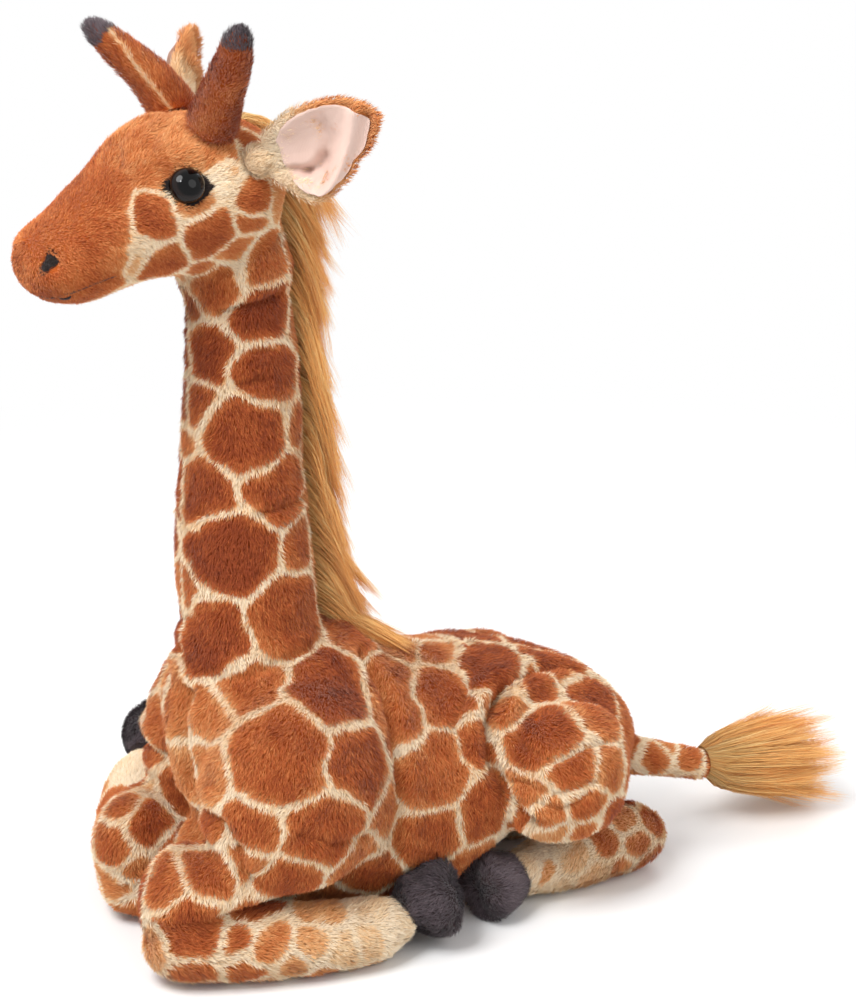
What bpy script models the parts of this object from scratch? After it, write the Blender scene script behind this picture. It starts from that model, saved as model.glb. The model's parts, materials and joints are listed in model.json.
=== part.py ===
# Plush giraffe lying down with its legs folded, as an assembly of its sewn pieces.
# Metres, +Z up. The giraffe looks along -Y, its left side is +X, and the origin is on the
# flat of its belly, where it rests on the floor.

from math import cos, pi, radians, sin, tan

import bmesh
import bpy
from mathutils import Matrix, Vector
from mathutils.bvhtree import BVHTree

mm = 0.001

# Room between pieces, and how deep the floor flattens the soft ones
SEAM_GAP = 0.4 * mm
FLOOR_SETTLE = 0.5 * mm
CUT_OVERRUN = 30 * mm

# Body
TORSO_LENGTH = 262 * mm
TORSO_HEIGHT = 142 * mm
TORSO_WIDTH = 113 * mm
NECK_FOOT_HEIGHT = 160 * mm
NECK_FOOT_RADIUS = 37 * mm
NECK_LENGTH = 202 * mm
NECK_TOP_RADIUS = 24.5 * mm
NECK_RELIEF_ANGLE = radians(14)
HEAD_RELIEF_ANGLE = radians(20)

# Head
HEAD_LENGTH = 138 * mm
HEAD_HEIGHT = 79 * mm
HEAD_WIDTH = 74 * mm
HEAD_TURN = radians(10)
HORN_LENGTH = 53 * mm
HORN_RADIUS = 13 * mm
HORN_SPLAY = radians(29)
HORN_LEAN_LEFT = radians(4)
HORN_LEAN_RIGHT = radians(25)
HORN_ROOT_DEPTH = 5 * mm
EAR_LENGTH = 60 * mm
EAR_BREADTH = 55 * mm
EAR_CUP = 9 * mm
EAR_THICKNESS = 3.5 * mm
EAR_ROOT_RADIUS = 7 * mm
LINING_THICKNESS = 0.9 * mm
LINING_MARGIN = 4 * mm

# Safety eyes, with the felt under each and the washer that locks it inside the head
EYE_RADIUS = 7.2 * mm
EYE_DOME_HEIGHT = 4.6 * mm
SHANK_RADIUS = 1.8 * mm
SHANK_LENGTH = 13 * mm
FELT_LENGTH = 24 * mm
FELT_HEIGHT = 18 * mm
FELT_THICKNESS = 0.8 * mm
FELT_SINK = 1.6 * mm
WASHER_RADIUS = 6.5 * mm
WASHER_THICKNESS = 1.6 * mm
WASHER_DEPTH = 8.5 * mm

# Nose and mouth, stitched on
NOSTRIL_LENGTH = 8 * mm
NOSTRIL_HEIGHT = 6.4 * mm
NOSTRIL_THICKNESS = 2.4 * mm
MOUTH_THREAD_RADIUS = 0.9 * mm

# Mane and tail
MANE_THICKNESS = 21 * mm
MANE_DEPTH = 26 * mm
TAIL_LENGTH = 60 * mm
TAIL_RADIUS = 10.5 * mm
TAIL_ROOT_RADIUS = 12 * mm
TAIL_ROOT_HEIGHT = 54 * mm
TAIL_DROP = radians(18)
TUFT_LENGTH = 90 * mm
TUFT_RADIUS = 22 * mm

# Forelegs
SHOULDER_HEIGHT = 118 * mm
SHOULDER_LENGTH = 106 * mm
SHOULDER_THICKNESS = 78 * mm
FOREARM_RADIUS = 22.5 * mm
FORELEG_LENGTH = 143 * mm
FORELEG_RADIUS = 22.5 * mm
FORE_HOOF_RADIUS = 20.5 * mm
KNEE_TILT = radians(11.5)
KNEE_SWING_LEFT = radians(0)
KNEE_SWING_RIGHT = radians(58)
KNEE_SEAT_HEIGHT = 18 * mm

# Hind legs
HAUNCH_HEIGHT = 90 * mm
HAUNCH_LENGTH = 72 * mm
HAUNCH_THICKNESS = 66 * mm
HINDLEG_LENGTH = 106 * mm
HINDLEG_RADIUS = 21.5 * mm
HIND_HOOF_RADIUS = 18.5 * mm
HOCK_SEAT_HEIGHT = 20 * mm

LEFT = 1
RIGHT = -1
SIDES = {"left": LEFT, "right": RIGHT}
X_AXIS = Vector((1, 0, 0))
Y_AXIS = Vector((0, 1, 0))
Z_AXIS = Vector((0, 0, 1))


for old in list(bpy.data.objects):
    bpy.data.objects.remove(old, do_unlink=True)

giraffe = bpy.data.collections.new("plush_giraffe")
cutters = bpy.data.collections.new("cutters")
bpy.context.scene.collection.children.link(giraffe)
bpy.context.scene.collection.children.link(cutters)


def finish(name, colour, roughness=0.9, metallic=0.0):
    material = bpy.data.materials.new(name)
    material.use_nodes = True
    shader = material.node_tree.nodes["Principled BSDF"]
    shader.inputs["Base Color"].default_value = (*colour, 1.0)
    shader.inputs["Roughness"].default_value = roughness
    shader.inputs["Metallic"].default_value = metallic
    return material


spotted_plush = finish("spotted_plush", (0.40, 0.14, 0.045))
ear_plush = finish("ear_plush", (0.55, 0.28, 0.11))
ear_cloth = finish("ear_cloth", (0.72, 0.55, 0.48))
charcoal_plush = finish("charcoal_plush", (0.06, 0.05, 0.055))
gold_hair = finish("gold_hair", (0.60, 0.34, 0.11))
black_glass = finish("black_glass", (0.012, 0.010, 0.010), 0.05)
black_felt = finish("black_felt", (0.012, 0.010, 0.010), 0.95)
nose_stitching = finish("nose_stitching", (0.015, 0.012, 0.012))
white_nylon = finish("white_nylon", (0.80, 0.79, 0.76), 0.4)


def keep(obj, material):
    giraffe.objects.link(obj)
    obj.data.materials.append(material)
    return obj


def keep_cutter(obj):
    cutters.objects.link(obj)
    obj.hide_render = True
    obj.display_type = "WIRE"
    return obj


def mesh_object(name, build):
    # A new object whose mesh is filled by the given function
    mesh = bpy.data.meshes.new(name)
    bm = bmesh.new()
    build(bm)
    bmesh.ops.recalc_face_normals(bm, faces=bm.faces)
    bm.to_mesh(mesh)
    bm.free()
    return bpy.data.objects.new(name, mesh)


def pivot(name, matrix, parent=None):
    empty = bpy.data.objects.new(name, None)
    giraffe.objects.link(empty)
    empty.empty_display_size = SHANK_LENGTH
    empty.parent = parent
    empty.matrix_basis = parent.matrix_world.inverted() @ matrix if parent else matrix
    bpy.context.view_layer.update()
    return empty


def ride(obj, empty):
    # The piece keeps its place, with its own origin moved to the pivot
    obj.data.transform(empty.matrix_world.inverted())
    obj.parent = empty
    return obj


# Stuffed forms: a coarse cage of rings along a bent centre line, smoothed by subdivision

def ring_loft(bm, stations, across, count, grow):
    # Each station is its centre, its half breadth along across, its half depth and, where the
    # centre line doesn't give it, the way that the form runs there
    swell = 3 / (2 + cos(2 * pi / count))
    rings = []
    last = len(stations) - 1
    for i, (centre, breadth, depth, *course) in enumerate(stations):
        along = course[0] if course else stations[min(i + 1, last)][0] - stations[max(i - 1, 0)][0]
        along = along.normalized()
        side = (across - along * across.dot(along)).normalized()
        rise = along.cross(side)
        shift = along * grow * ((i == last) - (i == 0))
        ring = []
        for k in range(count):
            angle = 2 * pi * (k + 0.5) / count
            sideways = side * cos(angle) * (breadth * swell + grow)
            upward = rise * sin(angle) * (depth * swell + grow)
            ring.append(bm.verts.new(centre + shift + sideways + upward))
        rings.append(ring)
    for near, far in zip(rings, rings[1:]):
        for k in range(count):
            j = (k + 1) % count
            bm.faces.new((near[k], near[j], far[j], far[k]))
    bm.faces.new(rings[0])
    bm.faces.new(rings[-1])


def stuffed(name, stations, across=X_AXIS, count=8, grow=0.0):
    obj = mesh_object(name, lambda bm: ring_loft(bm, stations, across, count, grow))
    smooth = obj.modifiers.new("stuffing", "SUBSURF")
    smooth.levels = 1
    smooth.render_levels = 1
    facets = obj.modifiers.new("facets", "TRIANGULATE")
    facets.quad_method = "FIXED"
    obj.data.shade_smooth()
    return obj


def ball(centre, radius, segments=16):
    def build(bm):
        bmesh.ops.create_uvsphere(bm, u_segments=segments, v_segments=segments // 2, radius=radius,
                                  matrix=Matrix.Translation(centre))
    return keep_cutter(mesh_object("ball_cutter", build))


def socket(centre, radius, segments=16):
    # Its flats clear the corners of a ball of the radius by the seam gap, however it turns
    return ball(centre, (radius + SEAM_GAP) / cos(pi / segments), segments)


def cone(low_radius, high_radius, height, matrix, segments=16):
    # A frustum from the matrix's origin up its Z
    def build(bm):
        bmesh.ops.create_cone(bm, cap_ends=True, segments=segments, radius1=low_radius, radius2=high_radius,
                              depth=height, matrix=matrix @ Matrix.Translation(Z_AXIS * height / 2))
    return mesh_object("turned", build)


def relief(matrix, radius, angle):
    # The room in which a stem on a ball of the radius leans by the angle, up the matrix's Z
    depth = radius / 4
    height = radius * 2
    low_radius = radius + 2 * SEAM_GAP - depth * tan(angle)
    high_radius = radius + 2 * SEAM_GAP + height * tan(angle)
    place = matrix @ Matrix.Translation(-Z_AXIS * depth)
    return keep_cutter(cone(low_radius, high_radius, height + depth, place))


def half_space(matrix, reach):
    # A block below the matrix's XY plane
    def build(bm):
        place = matrix @ Matrix.Translation(-Z_AXIS * reach) @ Matrix.Scale(2 * reach, 4)
        bmesh.ops.create_cube(bm, size=1.0, matrix=place)
    return keep_cutter(mesh_object("plane_cutter", build))


def cut(obj, *others, operation="DIFFERENCE"):
    for other in others:
        step = obj.modifiers.new(operation.lower(), "BOOLEAN")
        step.operation = operation
        step.object = other
    return obj


def facing(point, normal, up=Z_AXIS):
    # A frame at the point whose Z is the normal and whose Y leans toward up
    z = normal.normalized()
    x = up.cross(z).normalized()
    y = z.cross(x)
    frame = Matrix((x, y, z)).transposed().to_4x4()
    frame.translation = point
    return frame


FLOOR_REACH = TORSO_LENGTH * 2
floor = half_space(Matrix.Identity(4), FLOOR_REACH)


# Torso: from the rump forward along the belly, then up into the collar round the neck's foot
TORSO_profile_shares = (
    # the back's point and the belly's, each along the length and up the height, and half breadth
    (0.490, 0.515, 0.446, 0.344, 0.120),
    (0.470, 0.638, 0.385, 0.292, 0.310),
    (0.387, 0.794, 0.297, 0.276, 0.420),
    (0.235, 0.927, 0.201, 0.249, 0.480),
    (0.082, 0.985, 0.118, 0.168, 0.497),
    (0.000, 1.006, 0.054, -0.032, 0.500),
    (-0.046, 1.024, -0.146, -0.030, 0.512),
    (-0.084, 1.056, -0.397, 0.211, 0.515),
    (-0.115, 1.099, -0.500, 0.592, 0.475),
    (-0.145, 1.148, -0.515, 0.845, 0.430),
    (-0.176, 1.211, -0.511, 1.035, 0.400),
)
NECK_FOOT_SETBACK_share = -0.340
torso_stations = []
for back_y, back_z, belly_y, belly_z, breadth in TORSO_profile_shares:
    back = Vector((0, back_y * TORSO_LENGTH, back_z * TORSO_HEIGHT))
    belly = Vector((0, belly_y * TORSO_LENGTH, belly_z * TORSO_HEIGHT))
    rise = (back - belly) / 2
    torso_stations.append((belly + rise, breadth * TORSO_WIDTH, rise.length, X_AXIS.cross(rise)))


def torso_form(grow=0.0):
    return stuffed("torso", torso_stations, X_AXIS, 12, grow)


torso = keep(torso_form(), spotted_plush)
torso_cutter = keep_cutter(torso_form(SEAM_GAP))

neck_foot = Vector((0, NECK_FOOT_SETBACK_share * TORSO_LENGTH, NECK_FOOT_HEIGHT))
neck_pivot = pivot("neck_pivot", Matrix.Translation(neck_foot))
neck_relief = relief(Matrix.Translation(neck_foot), NECK_FOOT_RADIUS, NECK_RELIEF_ANGLE)
NECK_BALL_SIDES = 24
cut(torso, socket(neck_foot, NECK_FOOT_RADIUS, NECK_BALL_SIDES), neck_relief, floor)


# Neck: a tapered stem between a ball foot in the torso and a ball top in the head
NECK_LEAN_share = -0.015
NECK_stem_shares = (
    # up the length, sideways lean, radius as a share between the top and the foot
    (0.020, 0.000, 0.55),
    (0.085, -0.004, 0.96),
    (0.255, -0.020, 0.76),
    (0.445, -0.014, 0.52),
    (0.650, -0.003, 0.31),
    (0.870, -0.009, 0.10),
    (0.970, -0.014, -0.20),
)
head_foot = neck_foot + Vector((0, NECK_LEAN_share * NECK_LENGTH, NECK_LENGTH))
neck_stations = []
for rise, lean, fullness in NECK_stem_shares:
    stem_radius = NECK_TOP_RADIUS + (NECK_FOOT_RADIUS - NECK_TOP_RADIUS) * fullness
    place = neck_foot + Vector((0, lean * NECK_LENGTH, rise * NECK_LENGTH))
    neck_stations.append((place, stem_radius, stem_radius))


def neck_form(grow=0.0):
    return stuffed("neck", neck_stations, X_AXIS, 8, grow)


neck = ride(keep(neck_form(), spotted_plush), neck_pivot)
neck_cutter = keep_cutter(neck_form(SEAM_GAP))
neck_balls = [ball(neck_foot, NECK_FOOT_RADIUS, NECK_BALL_SIDES), ball(head_foot, NECK_TOP_RADIUS)]
cut(neck, *neck_balls, operation="UNION")


# Head, in its own frame: X to its left, -Y to its nose, origin on the neck's top ball
HEAD_station_shares = (
    # forward, up the height, half breadth, half height
    (-0.155, 0.330, 0.160, 0.155),
    (-0.095, 0.345, 0.365, 0.350),
    (0.060, 0.345, 0.480, 0.470),
    (0.240, 0.342, 0.505, 0.495),
    (0.400, 0.285, 0.440, 0.430),
    (0.520, 0.185, 0.355, 0.335),
    (0.640, 0.105, 0.312, 0.258),
    (0.750, 0.065, 0.280, 0.222),
    (0.818, 0.050, 0.180, 0.135),
)
head_frame = Matrix.Translation(head_foot) @ Matrix.Rotation(HEAD_TURN, 4, "Z")
head_pivot = pivot("head_pivot", head_frame, neck_pivot)
head_left = head_frame.to_3x3() @ X_AXIS
head_stations = []
for forward, up, breadth, height in HEAD_station_shares:
    place = head_frame @ Vector((0, -forward * HEAD_LENGTH, up * HEAD_HEIGHT))
    head_stations.append((place, breadth * HEAD_WIDTH, height * HEAD_HEIGHT))


def head_form(grow=0.0):
    return stuffed("head", head_stations, head_left, 10, grow)


head = ride(keep(head_form(), spotted_plush), head_pivot)
head_cutter = keep_cutter(head_form(SEAM_GAP))
downward = Matrix.Translation(head_foot) @ Matrix.Rotation(pi, 4, "X")
head_relief = relief(downward, NECK_TOP_RADIUS, HEAD_RELIEF_ANGLE)
head_socket = socket(head_foot, NECK_TOP_RADIUS)
cut(head, head_socket, head_relief)

bpy.context.view_layer.update()
depsgraph = bpy.context.evaluated_depsgraph_get()
head_skin = BVHTree.FromObject(head_cutter, depsgraph)


def on_head(core_shares, aim):
    # Where a line from inside the head, given in the head's frame, comes out of its skin
    forward, up, left = core_shares
    start = head_frame @ Vector((left * HEAD_WIDTH, -forward * HEAD_LENGTH, up * HEAD_HEIGHT))
    direction = (head_frame.to_3x3() @ Vector(aim)).normalized()
    point, normal, index, distance = head_skin.ray_cast(start, direction)
    return point, normal


# Horns: stuffed stems sewn on the crown, each with a dark cap at its end
HORN_core_shares = (0.165, 0.300, 0.0)
HORN_aim_shares = (0.52, 0.0, 1.0)
HORN_station_shares = (
    # along the horn, radius
    (0.0, 1.0),
    (0.14, 0.98),
    (0.35, 0.86),
    (0.60, 0.77),
    (0.83, 0.71),
    (0.94, 0.56),
    (1.0, 0.28),
)
HORN_CAP_share = 0.74
HORN_LEANS = {"left": HORN_LEAN_LEFT, "right": HORN_LEAN_RIGHT}


def make_horn(side_name, side):
    lean = HORN_LEANS[side_name]
    aim = (HORN_aim_shares[0] * side, HORN_aim_shares[1], HORN_aim_shares[2])
    root, normal = on_head(HORN_core_shares, aim)
    axis = head_frame.to_3x3() @ Vector((side * sin(HORN_SPLAY), -sin(lean), cos(HORN_SPLAY) * cos(lean)))
    axis.normalize()
    root = root - axis * HORN_ROOT_DEPTH
    length = HORN_LENGTH + HORN_ROOT_DEPTH
    stations = [(root + axis * a * length, r * HORN_RADIUS, r * HORN_RADIUS) for a, r in HORN_station_shares]
    across = axis.cross(Y_AXIS).normalized()
    stem = ride(keep(stuffed("horn_" + side_name, stations, across), spotted_plush), head_pivot)
    cap = ride(keep(stuffed("horn_tip_" + side_name, stations, across), charcoal_plush), head_pivot)
    parting = root + axis * HORN_CAP_share * length
    below = half_space(facing(parting + axis * SEAM_GAP / 2, axis, Y_AXIS), HORN_LENGTH)
    above = half_space(facing(parting - axis * SEAM_GAP / 2, -axis, Y_AXIS), HORN_LENGTH)
    cut(stem, above, head_cutter)
    cut(cap, below)


for side_name, side in SIDES.items():
    make_horn(side_name, side)


# Ears: a cupped leaf of plush on a small stuffed root, lined with smooth cloth
EAR_core_shares = (0.050, 0.42, 0.0)
EAR_aim = (1.0, 0.0, 0.36)
EAR_direction_left = Vector((0.68, 0.62, 0.26))
EAR_direction_right = Vector((-0.62, 0.42, 0.66))
EAR_rise_left = Vector((-0.16, -0.20, 0.95))
EAR_rise_right = Vector((0.45, -0.20, 0.80))
EAR_SETTINGS = {"left": (EAR_direction_left, EAR_rise_left), "right": (EAR_direction_right, EAR_rise_right)}
EAR_outline_shares = ((0.00, 0.20), (0.22, 0.40), (0.50, 0.50), (0.78, 0.42), (1.0, 0.17))
EAR_ACROSS = 4
EAR_ROOT_SIDES = 12
EAR_BLADE_START_share = 0.06


def ear_leaf(bm, frame, length, breadth, lift, start):
    # The frame's X runs out along the ear, its Y across it and its Z out of its hollow
    rows = []
    for along, width in EAR_outline_shares:
        row = []
        for k in range(EAR_ACROSS + 1):
            across = 2 * k / EAR_ACROSS - 1
            hollow = EAR_CUP * sin(pi * min(along + EAR_BLADE_START_share, 1.0)) * (across * across)
            x = start + (length - start) * along
            row.append(bm.verts.new(frame @ Vector((x, across * width * breadth, hollow + lift))))
        rows.append(row)
    for near, far in zip(rows, rows[1:]):
        for k in range(EAR_ACROSS):
            bm.faces.new((near[k], near[k + 1], far[k + 1], far[k]))


def leaf(name, frame, size, lift, start):
    length, breadth, thickness = size
    obj = mesh_object(name, lambda bm: ear_leaf(bm, frame, length, breadth, lift, start))
    shell = obj.modifiers.new("thickness", "SOLIDIFY")
    shell.thickness = thickness
    shell.offset = 0
    smooth = obj.modifiers.new("soften", "SUBSURF")
    smooth.levels = 1
    smooth.render_levels = 1
    return obj


def make_ear(side_name, side):
    direction, rise = EAR_SETTINGS[side_name]
    root, normal = on_head(EAR_core_shares, (EAR_aim[0] * side, EAR_aim[1], EAR_aim[2]))
    turn = head_frame.to_3x3()
    out = (turn @ direction).normalized()
    hollow = out.cross(turn @ rise).normalized() * side
    frame = Matrix((out, hollow.cross(out), hollow)).transposed().to_4x4()
    standoff = EAR_ROOT_RADIUS / 3
    frame.translation = root + out * standoff
    hinge = Matrix.Translation(frame.translation) @ turn.to_4x4()
    ear_pivot = pivot("ear_pivot_" + side_name, hinge, head_pivot)
    ear = leaf("ear_" + side_name, frame, (EAR_LENGTH, EAR_BREADTH, EAR_THICKNESS), 0.0, standoff)
    ride(keep(ear, ear_plush), ear_pivot)
    cut(ear, ball(frame.translation, EAR_ROOT_RADIUS, EAR_ROOT_SIDES), operation="UNION")
    lining_lift = EAR_THICKNESS / 2 + SEAM_GAP + LINING_THICKNESS / 2
    lining_size = (EAR_LENGTH - LINING_MARGIN, EAR_BREADTH - 2 * LINING_MARGIN, LINING_THICKNESS)
    lining_start = EAR_ROOT_RADIUS + LINING_MARGIN
    lining = leaf("ear_lining_" + side_name, frame, lining_size, lining_lift, lining_start)
    ride(keep(lining, ear_cloth), ear_pivot)
    cut(head, socket(frame.translation, EAR_ROOT_RADIUS, EAR_ROOT_SIDES))


for side_name, side in SIDES.items():
    make_ear(side_name, side)


# Eyes: a glossy dome on a shank, through a felt surround and a washer inside the head
EYE_core_shares = (0.300, 0.460, 0.0)
EYE_aim = (1.0, -0.06, 0.05)
EYE_SIDES = 20
DOME_STEPS = 5
FELT_SIDES = 20
WASHER_SIDES = 12
SHANK_SIDES = 8


def eye_dome(bm):
    # Turned on Z: the shank runs down from the dome's flat base
    profile = [(0, -SHANK_LENGTH), (SHANK_RADIUS, -SHANK_LENGTH), (SHANK_RADIUS, 0)]
    for k in range(DOME_STEPS):
        angle = pi / 2 * k / DOME_STEPS
        profile.append((EYE_RADIUS * cos(angle), EYE_DOME_HEIGHT * sin(angle)))
    profile.append((0, EYE_DOME_HEIGHT))
    verts = [bm.verts.new((r, 0, z)) for r, z in profile]
    edges = [bm.edges.new(pair) for pair in zip(verts, verts[1:])]
    bmesh.ops.spin(bm, geom=verts + edges, cent=(0, 0, 0), axis=Z_AXIS, angle=2 * pi, steps=EYE_SIDES,
                   use_merge=True)
    bmesh.ops.remove_doubles(bm, verts=bm.verts, dist=SEAM_GAP / 10)


def make_eye(side_name, side):
    point, normal = on_head(EYE_core_shares, (EYE_aim[0] * side, EYE_aim[1], EYE_aim[2]))
    seat = facing(point, normal, head_frame.to_3x3() @ Z_AXIS)
    eye = mesh_object("eye_" + side_name, eye_dome)
    eye.data.transform(seat)
    eye.data.shade_smooth()
    ride(keep(eye, black_glass), head_pivot)
    squash = Matrix.Diagonal((FELT_LENGTH / FELT_HEIGHT, 1, 1, 1))

    felt_radius = FELT_HEIGHT / 2
    felt_floor = seat @ Matrix.Translation(-Z_AXIS * (FELT_THICKNESS + SEAM_GAP)) @ squash
    felt = cone(felt_radius, felt_radius, FELT_THICKNESS, felt_floor, FELT_SIDES)
    felt.name = "eye_felt_" + side_name
    ride(keep(felt, black_felt), head_pivot)
    bore = SHANK_RADIUS + SEAM_GAP
    shaft_length = SHANK_LENGTH + SEAM_GAP
    shaft_floor = seat @ Matrix.Translation(-Z_AXIS * shaft_length)
    shaft = keep_cutter(cone(bore, bore, shaft_length + CUT_OVERRUN, shaft_floor, SHANK_SIDES))
    cut(felt, shaft)
    seat_floor = seat @ Matrix.Translation(-Z_AXIS * FELT_SINK) @ squash
    seat_radius = felt_radius + SEAM_GAP
    felt_seat = keep_cutter(cone(seat_radius, seat_radius, CUT_OVERRUN, seat_floor, FELT_SIDES))

    washer_floor = seat @ Matrix.Translation(-Z_AXIS * (WASHER_DEPTH + WASHER_THICKNESS))
    washer = cone(WASHER_RADIUS, WASHER_RADIUS, WASHER_THICKNESS, washer_floor, WASHER_SIDES)
    washer.name = "eye_washer_" + side_name
    ride(keep(washer, white_nylon), head_pivot)
    cut(washer, shaft)
    pocket_height = WASHER_THICKNESS + 2 * SEAM_GAP
    pocket_radius = WASHER_RADIUS + SEAM_GAP
    pocket_floor = washer_floor @ Matrix.Translation(-Z_AXIS * SEAM_GAP)
    pocket = keep_cutter(cone(pocket_radius, pocket_radius, pocket_height, pocket_floor, WASHER_SIDES))
    cut(head, felt_seat, shaft, pocket)


for side_name, side in SIDES.items():
    make_eye(side_name, side)


# Nostrils and mouth, let into the snout's skin
NOSTRIL_core_shares = (0.70, 0.09, 0.0)
NOSTRIL_aim = (0.86, -0.46, 0.12)
MOUTH_core_shares = (0.60, 0.06, 0.0)
MOUTH_REACH = radians(98)
MOUTH_corner_drop_share = 0.19
MOUTH_middle_drop_share = 0.43
MOUTH_POINTS = 9
NOSTRIL_SIDES = 12


def nostril_form(name, place, grow):
    size = (NOSTRIL_LENGTH / 2 + grow, NOSTRIL_HEIGHT / 2 + grow, NOSTRIL_THICKNESS / 2 + grow)
    def build(bm):
        bmesh.ops.create_uvsphere(bm, u_segments=NOSTRIL_SIDES, v_segments=NOSTRIL_SIDES // 2, radius=1.0,
                                  matrix=place @ Matrix.Diagonal((*size, 1)))
    return mesh_object(name, build)


def make_nostril(side_name, side):
    point, normal = on_head(NOSTRIL_core_shares, (NOSTRIL_aim[0] * side, NOSTRIL_aim[1], NOSTRIL_aim[2]))
    place = facing(point, normal, head_frame.to_3x3() @ Z_AXIS)
    nostril = keep(nostril_form("nostril_" + side_name, place, 0.0), nose_stitching)
    ride(nostril, head_pivot)
    cut(head, keep_cutter(nostril_form("nostril_seat", place, SEAM_GAP)))


def thread_tube(name, points, radius):
    curve = bpy.data.curves.new(name, "CURVE")
    curve.dimensions = "3D"
    curve.bevel_depth = radius
    curve.bevel_resolution = 1
    curve.use_fill_caps = True
    spline = curve.splines.new("POLY")
    spline.points.add(len(points) - 1)
    for knot, point in zip(spline.points, points):
        knot.co = (*point, 1.0)
    tube = bpy.data.objects.new(name, curve)
    giraffe.objects.link(tube)
    bpy.context.view_layer.update()
    mesh = bpy.data.meshes.new_from_object(tube.evaluated_get(bpy.context.evaluated_depsgraph_get()))
    bpy.data.objects.remove(tube)
    bm = bmesh.new()
    bm.from_mesh(mesh)
    bmesh.ops.remove_doubles(bm, verts=bm.verts, dist=SEAM_GAP / 10)
    bmesh.ops.recalc_face_normals(bm, faces=bm.faces)
    bm.to_mesh(mesh)
    bm.free()
    return bpy.data.objects.new(name, mesh)


for side_name, side in SIDES.items():
    make_nostril(side_name, side)

mouth_line = []
for k in range(MOUTH_POINTS):
    sweep = MOUTH_REACH * (2 * k / (MOUTH_POINTS - 1) - 1)
    drop = MOUTH_corner_drop_share + MOUTH_middle_drop_share * cos(sweep / 2)
    point, normal = on_head(MOUTH_core_shares, (sin(sweep), -cos(sweep), -drop))
    mouth_line.append(point)
mouth = keep(thread_tube("mouth_stitching", mouth_line, MOUTH_THREAD_RADIUS), nose_stitching)
ride(mouth, head_pivot)
corners = [mouth_line[0] * 2 - mouth_line[1], mouth_line[-1] * 2 - mouth_line[-2]]
groove_line = [corners[0], *mouth_line[1:-1], corners[1]]
cut(head, keep_cutter(thread_tube("mouth_groove", groove_line, MOUTH_THREAD_RADIUS + SEAM_GAP)))


# Mane: a strip of long hair up the back of the neck, from the withers to the back of the head
MANE_station_shares = (
    # up the neck, out from the neck's axis, half thickness, half depth
    (0.945, 0.138, 0.24, 0.22),
    (0.865, 0.160, 0.43, 0.42),
    (0.690, 0.176, 0.48, 0.48),
    (0.470, 0.188, 0.50, 0.50),
    (0.255, 0.205, 0.50, 0.48),
    (0.150, 0.228, 0.46, 0.42),
    (0.110, 0.243, 0.26, 0.22),
)
WITHERS_station_shares = (
    (0.060, 0.277, 0.26, 0.22),
    (0.015, 0.307, 0.46, 0.36),
    (-0.040, 0.361, 0.40, 0.30),
    (-0.075, 0.426, 0.24, 0.14),
)


def hair_on_neck(name, shares):
    stations = []
    for rise, out, thickness, depth in shares:
        place = neck_foot + Vector((0, out * NECK_LENGTH, rise * NECK_LENGTH))
        stations.append((place, thickness * MANE_THICKNESS, depth * MANE_DEPTH))
    return keep(stuffed(name, stations), gold_hair)


mane = ride(hair_on_neck("mane", MANE_station_shares), neck_pivot)
withers = hair_on_neck("mane_withers", WITHERS_station_shares)
cut(mane, neck_cutter, torso_cutter)
cut(withers, torso_cutter)

# The strip's top end is sewn on the back of the head and tips with it
POLL_station_shares = (
    # back from the head's origin, up its height, half thickness, half depth
    (0.115, 0.640, 0.20, 0.16),
    (0.165, 0.540, 0.38, 0.32),
    (0.190, 0.360, 0.46, 0.42),
    (0.195, 0.180, 0.42, 0.40),
    (0.190, 0.060, 0.24, 0.22),
)
poll_stations = []
for back, up, thickness, depth in POLL_station_shares:
    place = head_frame @ Vector((0, back * HEAD_LENGTH, up * HEAD_HEIGHT))
    poll_stations.append((place, thickness * MANE_THICKNESS, depth * MANE_DEPTH))
poll = ride(keep(stuffed("mane_poll", poll_stations, head_left), gold_hair), head_pivot)
cut(poll, head_cutter, head_socket)


def ball_stations(centre, radius, angles, axis):
    return [(centre + axis * radius * sin(radians(a)), radius * cos(radians(a)), radius * cos(radians(a)))
            for a in angles]


# Tail, with its ball root in the rump and its tuft lying on the floor
TAIL_ROOT_SETBACK_share = 0.480
TAIL_ball_angles = (-70, -40, -8)
TAIL_station_shares = (
    # along the tail, radius
    (0.30, 1.0),
    (0.55, 0.93),
    (0.80, 0.86),
    (1.0, 0.82),
)
TUFT_station_shares = (
    (-0.06, 0.26),
    (0.04, 0.42),
    (0.18, 0.70),
    (0.42, 0.96),
    (0.66, 0.94),
    (0.86, 0.62),
    (1.0, 0.22),
)
TUFT_LANDING_share = 0.60

tail_root = Vector((0, TAIL_ROOT_SETBACK_share * TORSO_LENGTH, TAIL_ROOT_HEIGHT))
tail_direction = Vector((0, cos(TAIL_DROP), -sin(TAIL_DROP)))
tail_pivot = pivot("tail_pivot", Matrix.Translation(tail_root))
tail_stations = ball_stations(tail_root, TAIL_ROOT_RADIUS, TAIL_ball_angles, tail_direction)
for along, fullness in TAIL_station_shares:
    radius = fullness * TAIL_RADIUS
    tail_stations.append((tail_root + tail_direction * along * TAIL_LENGTH, radius, radius))
tail = ride(keep(stuffed("tail", tail_stations, count=6), spotted_plush), tail_pivot)
tail_cutter = keep_cutter(stuffed("tail", tail_stations, count=6, grow=SEAM_GAP))

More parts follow.
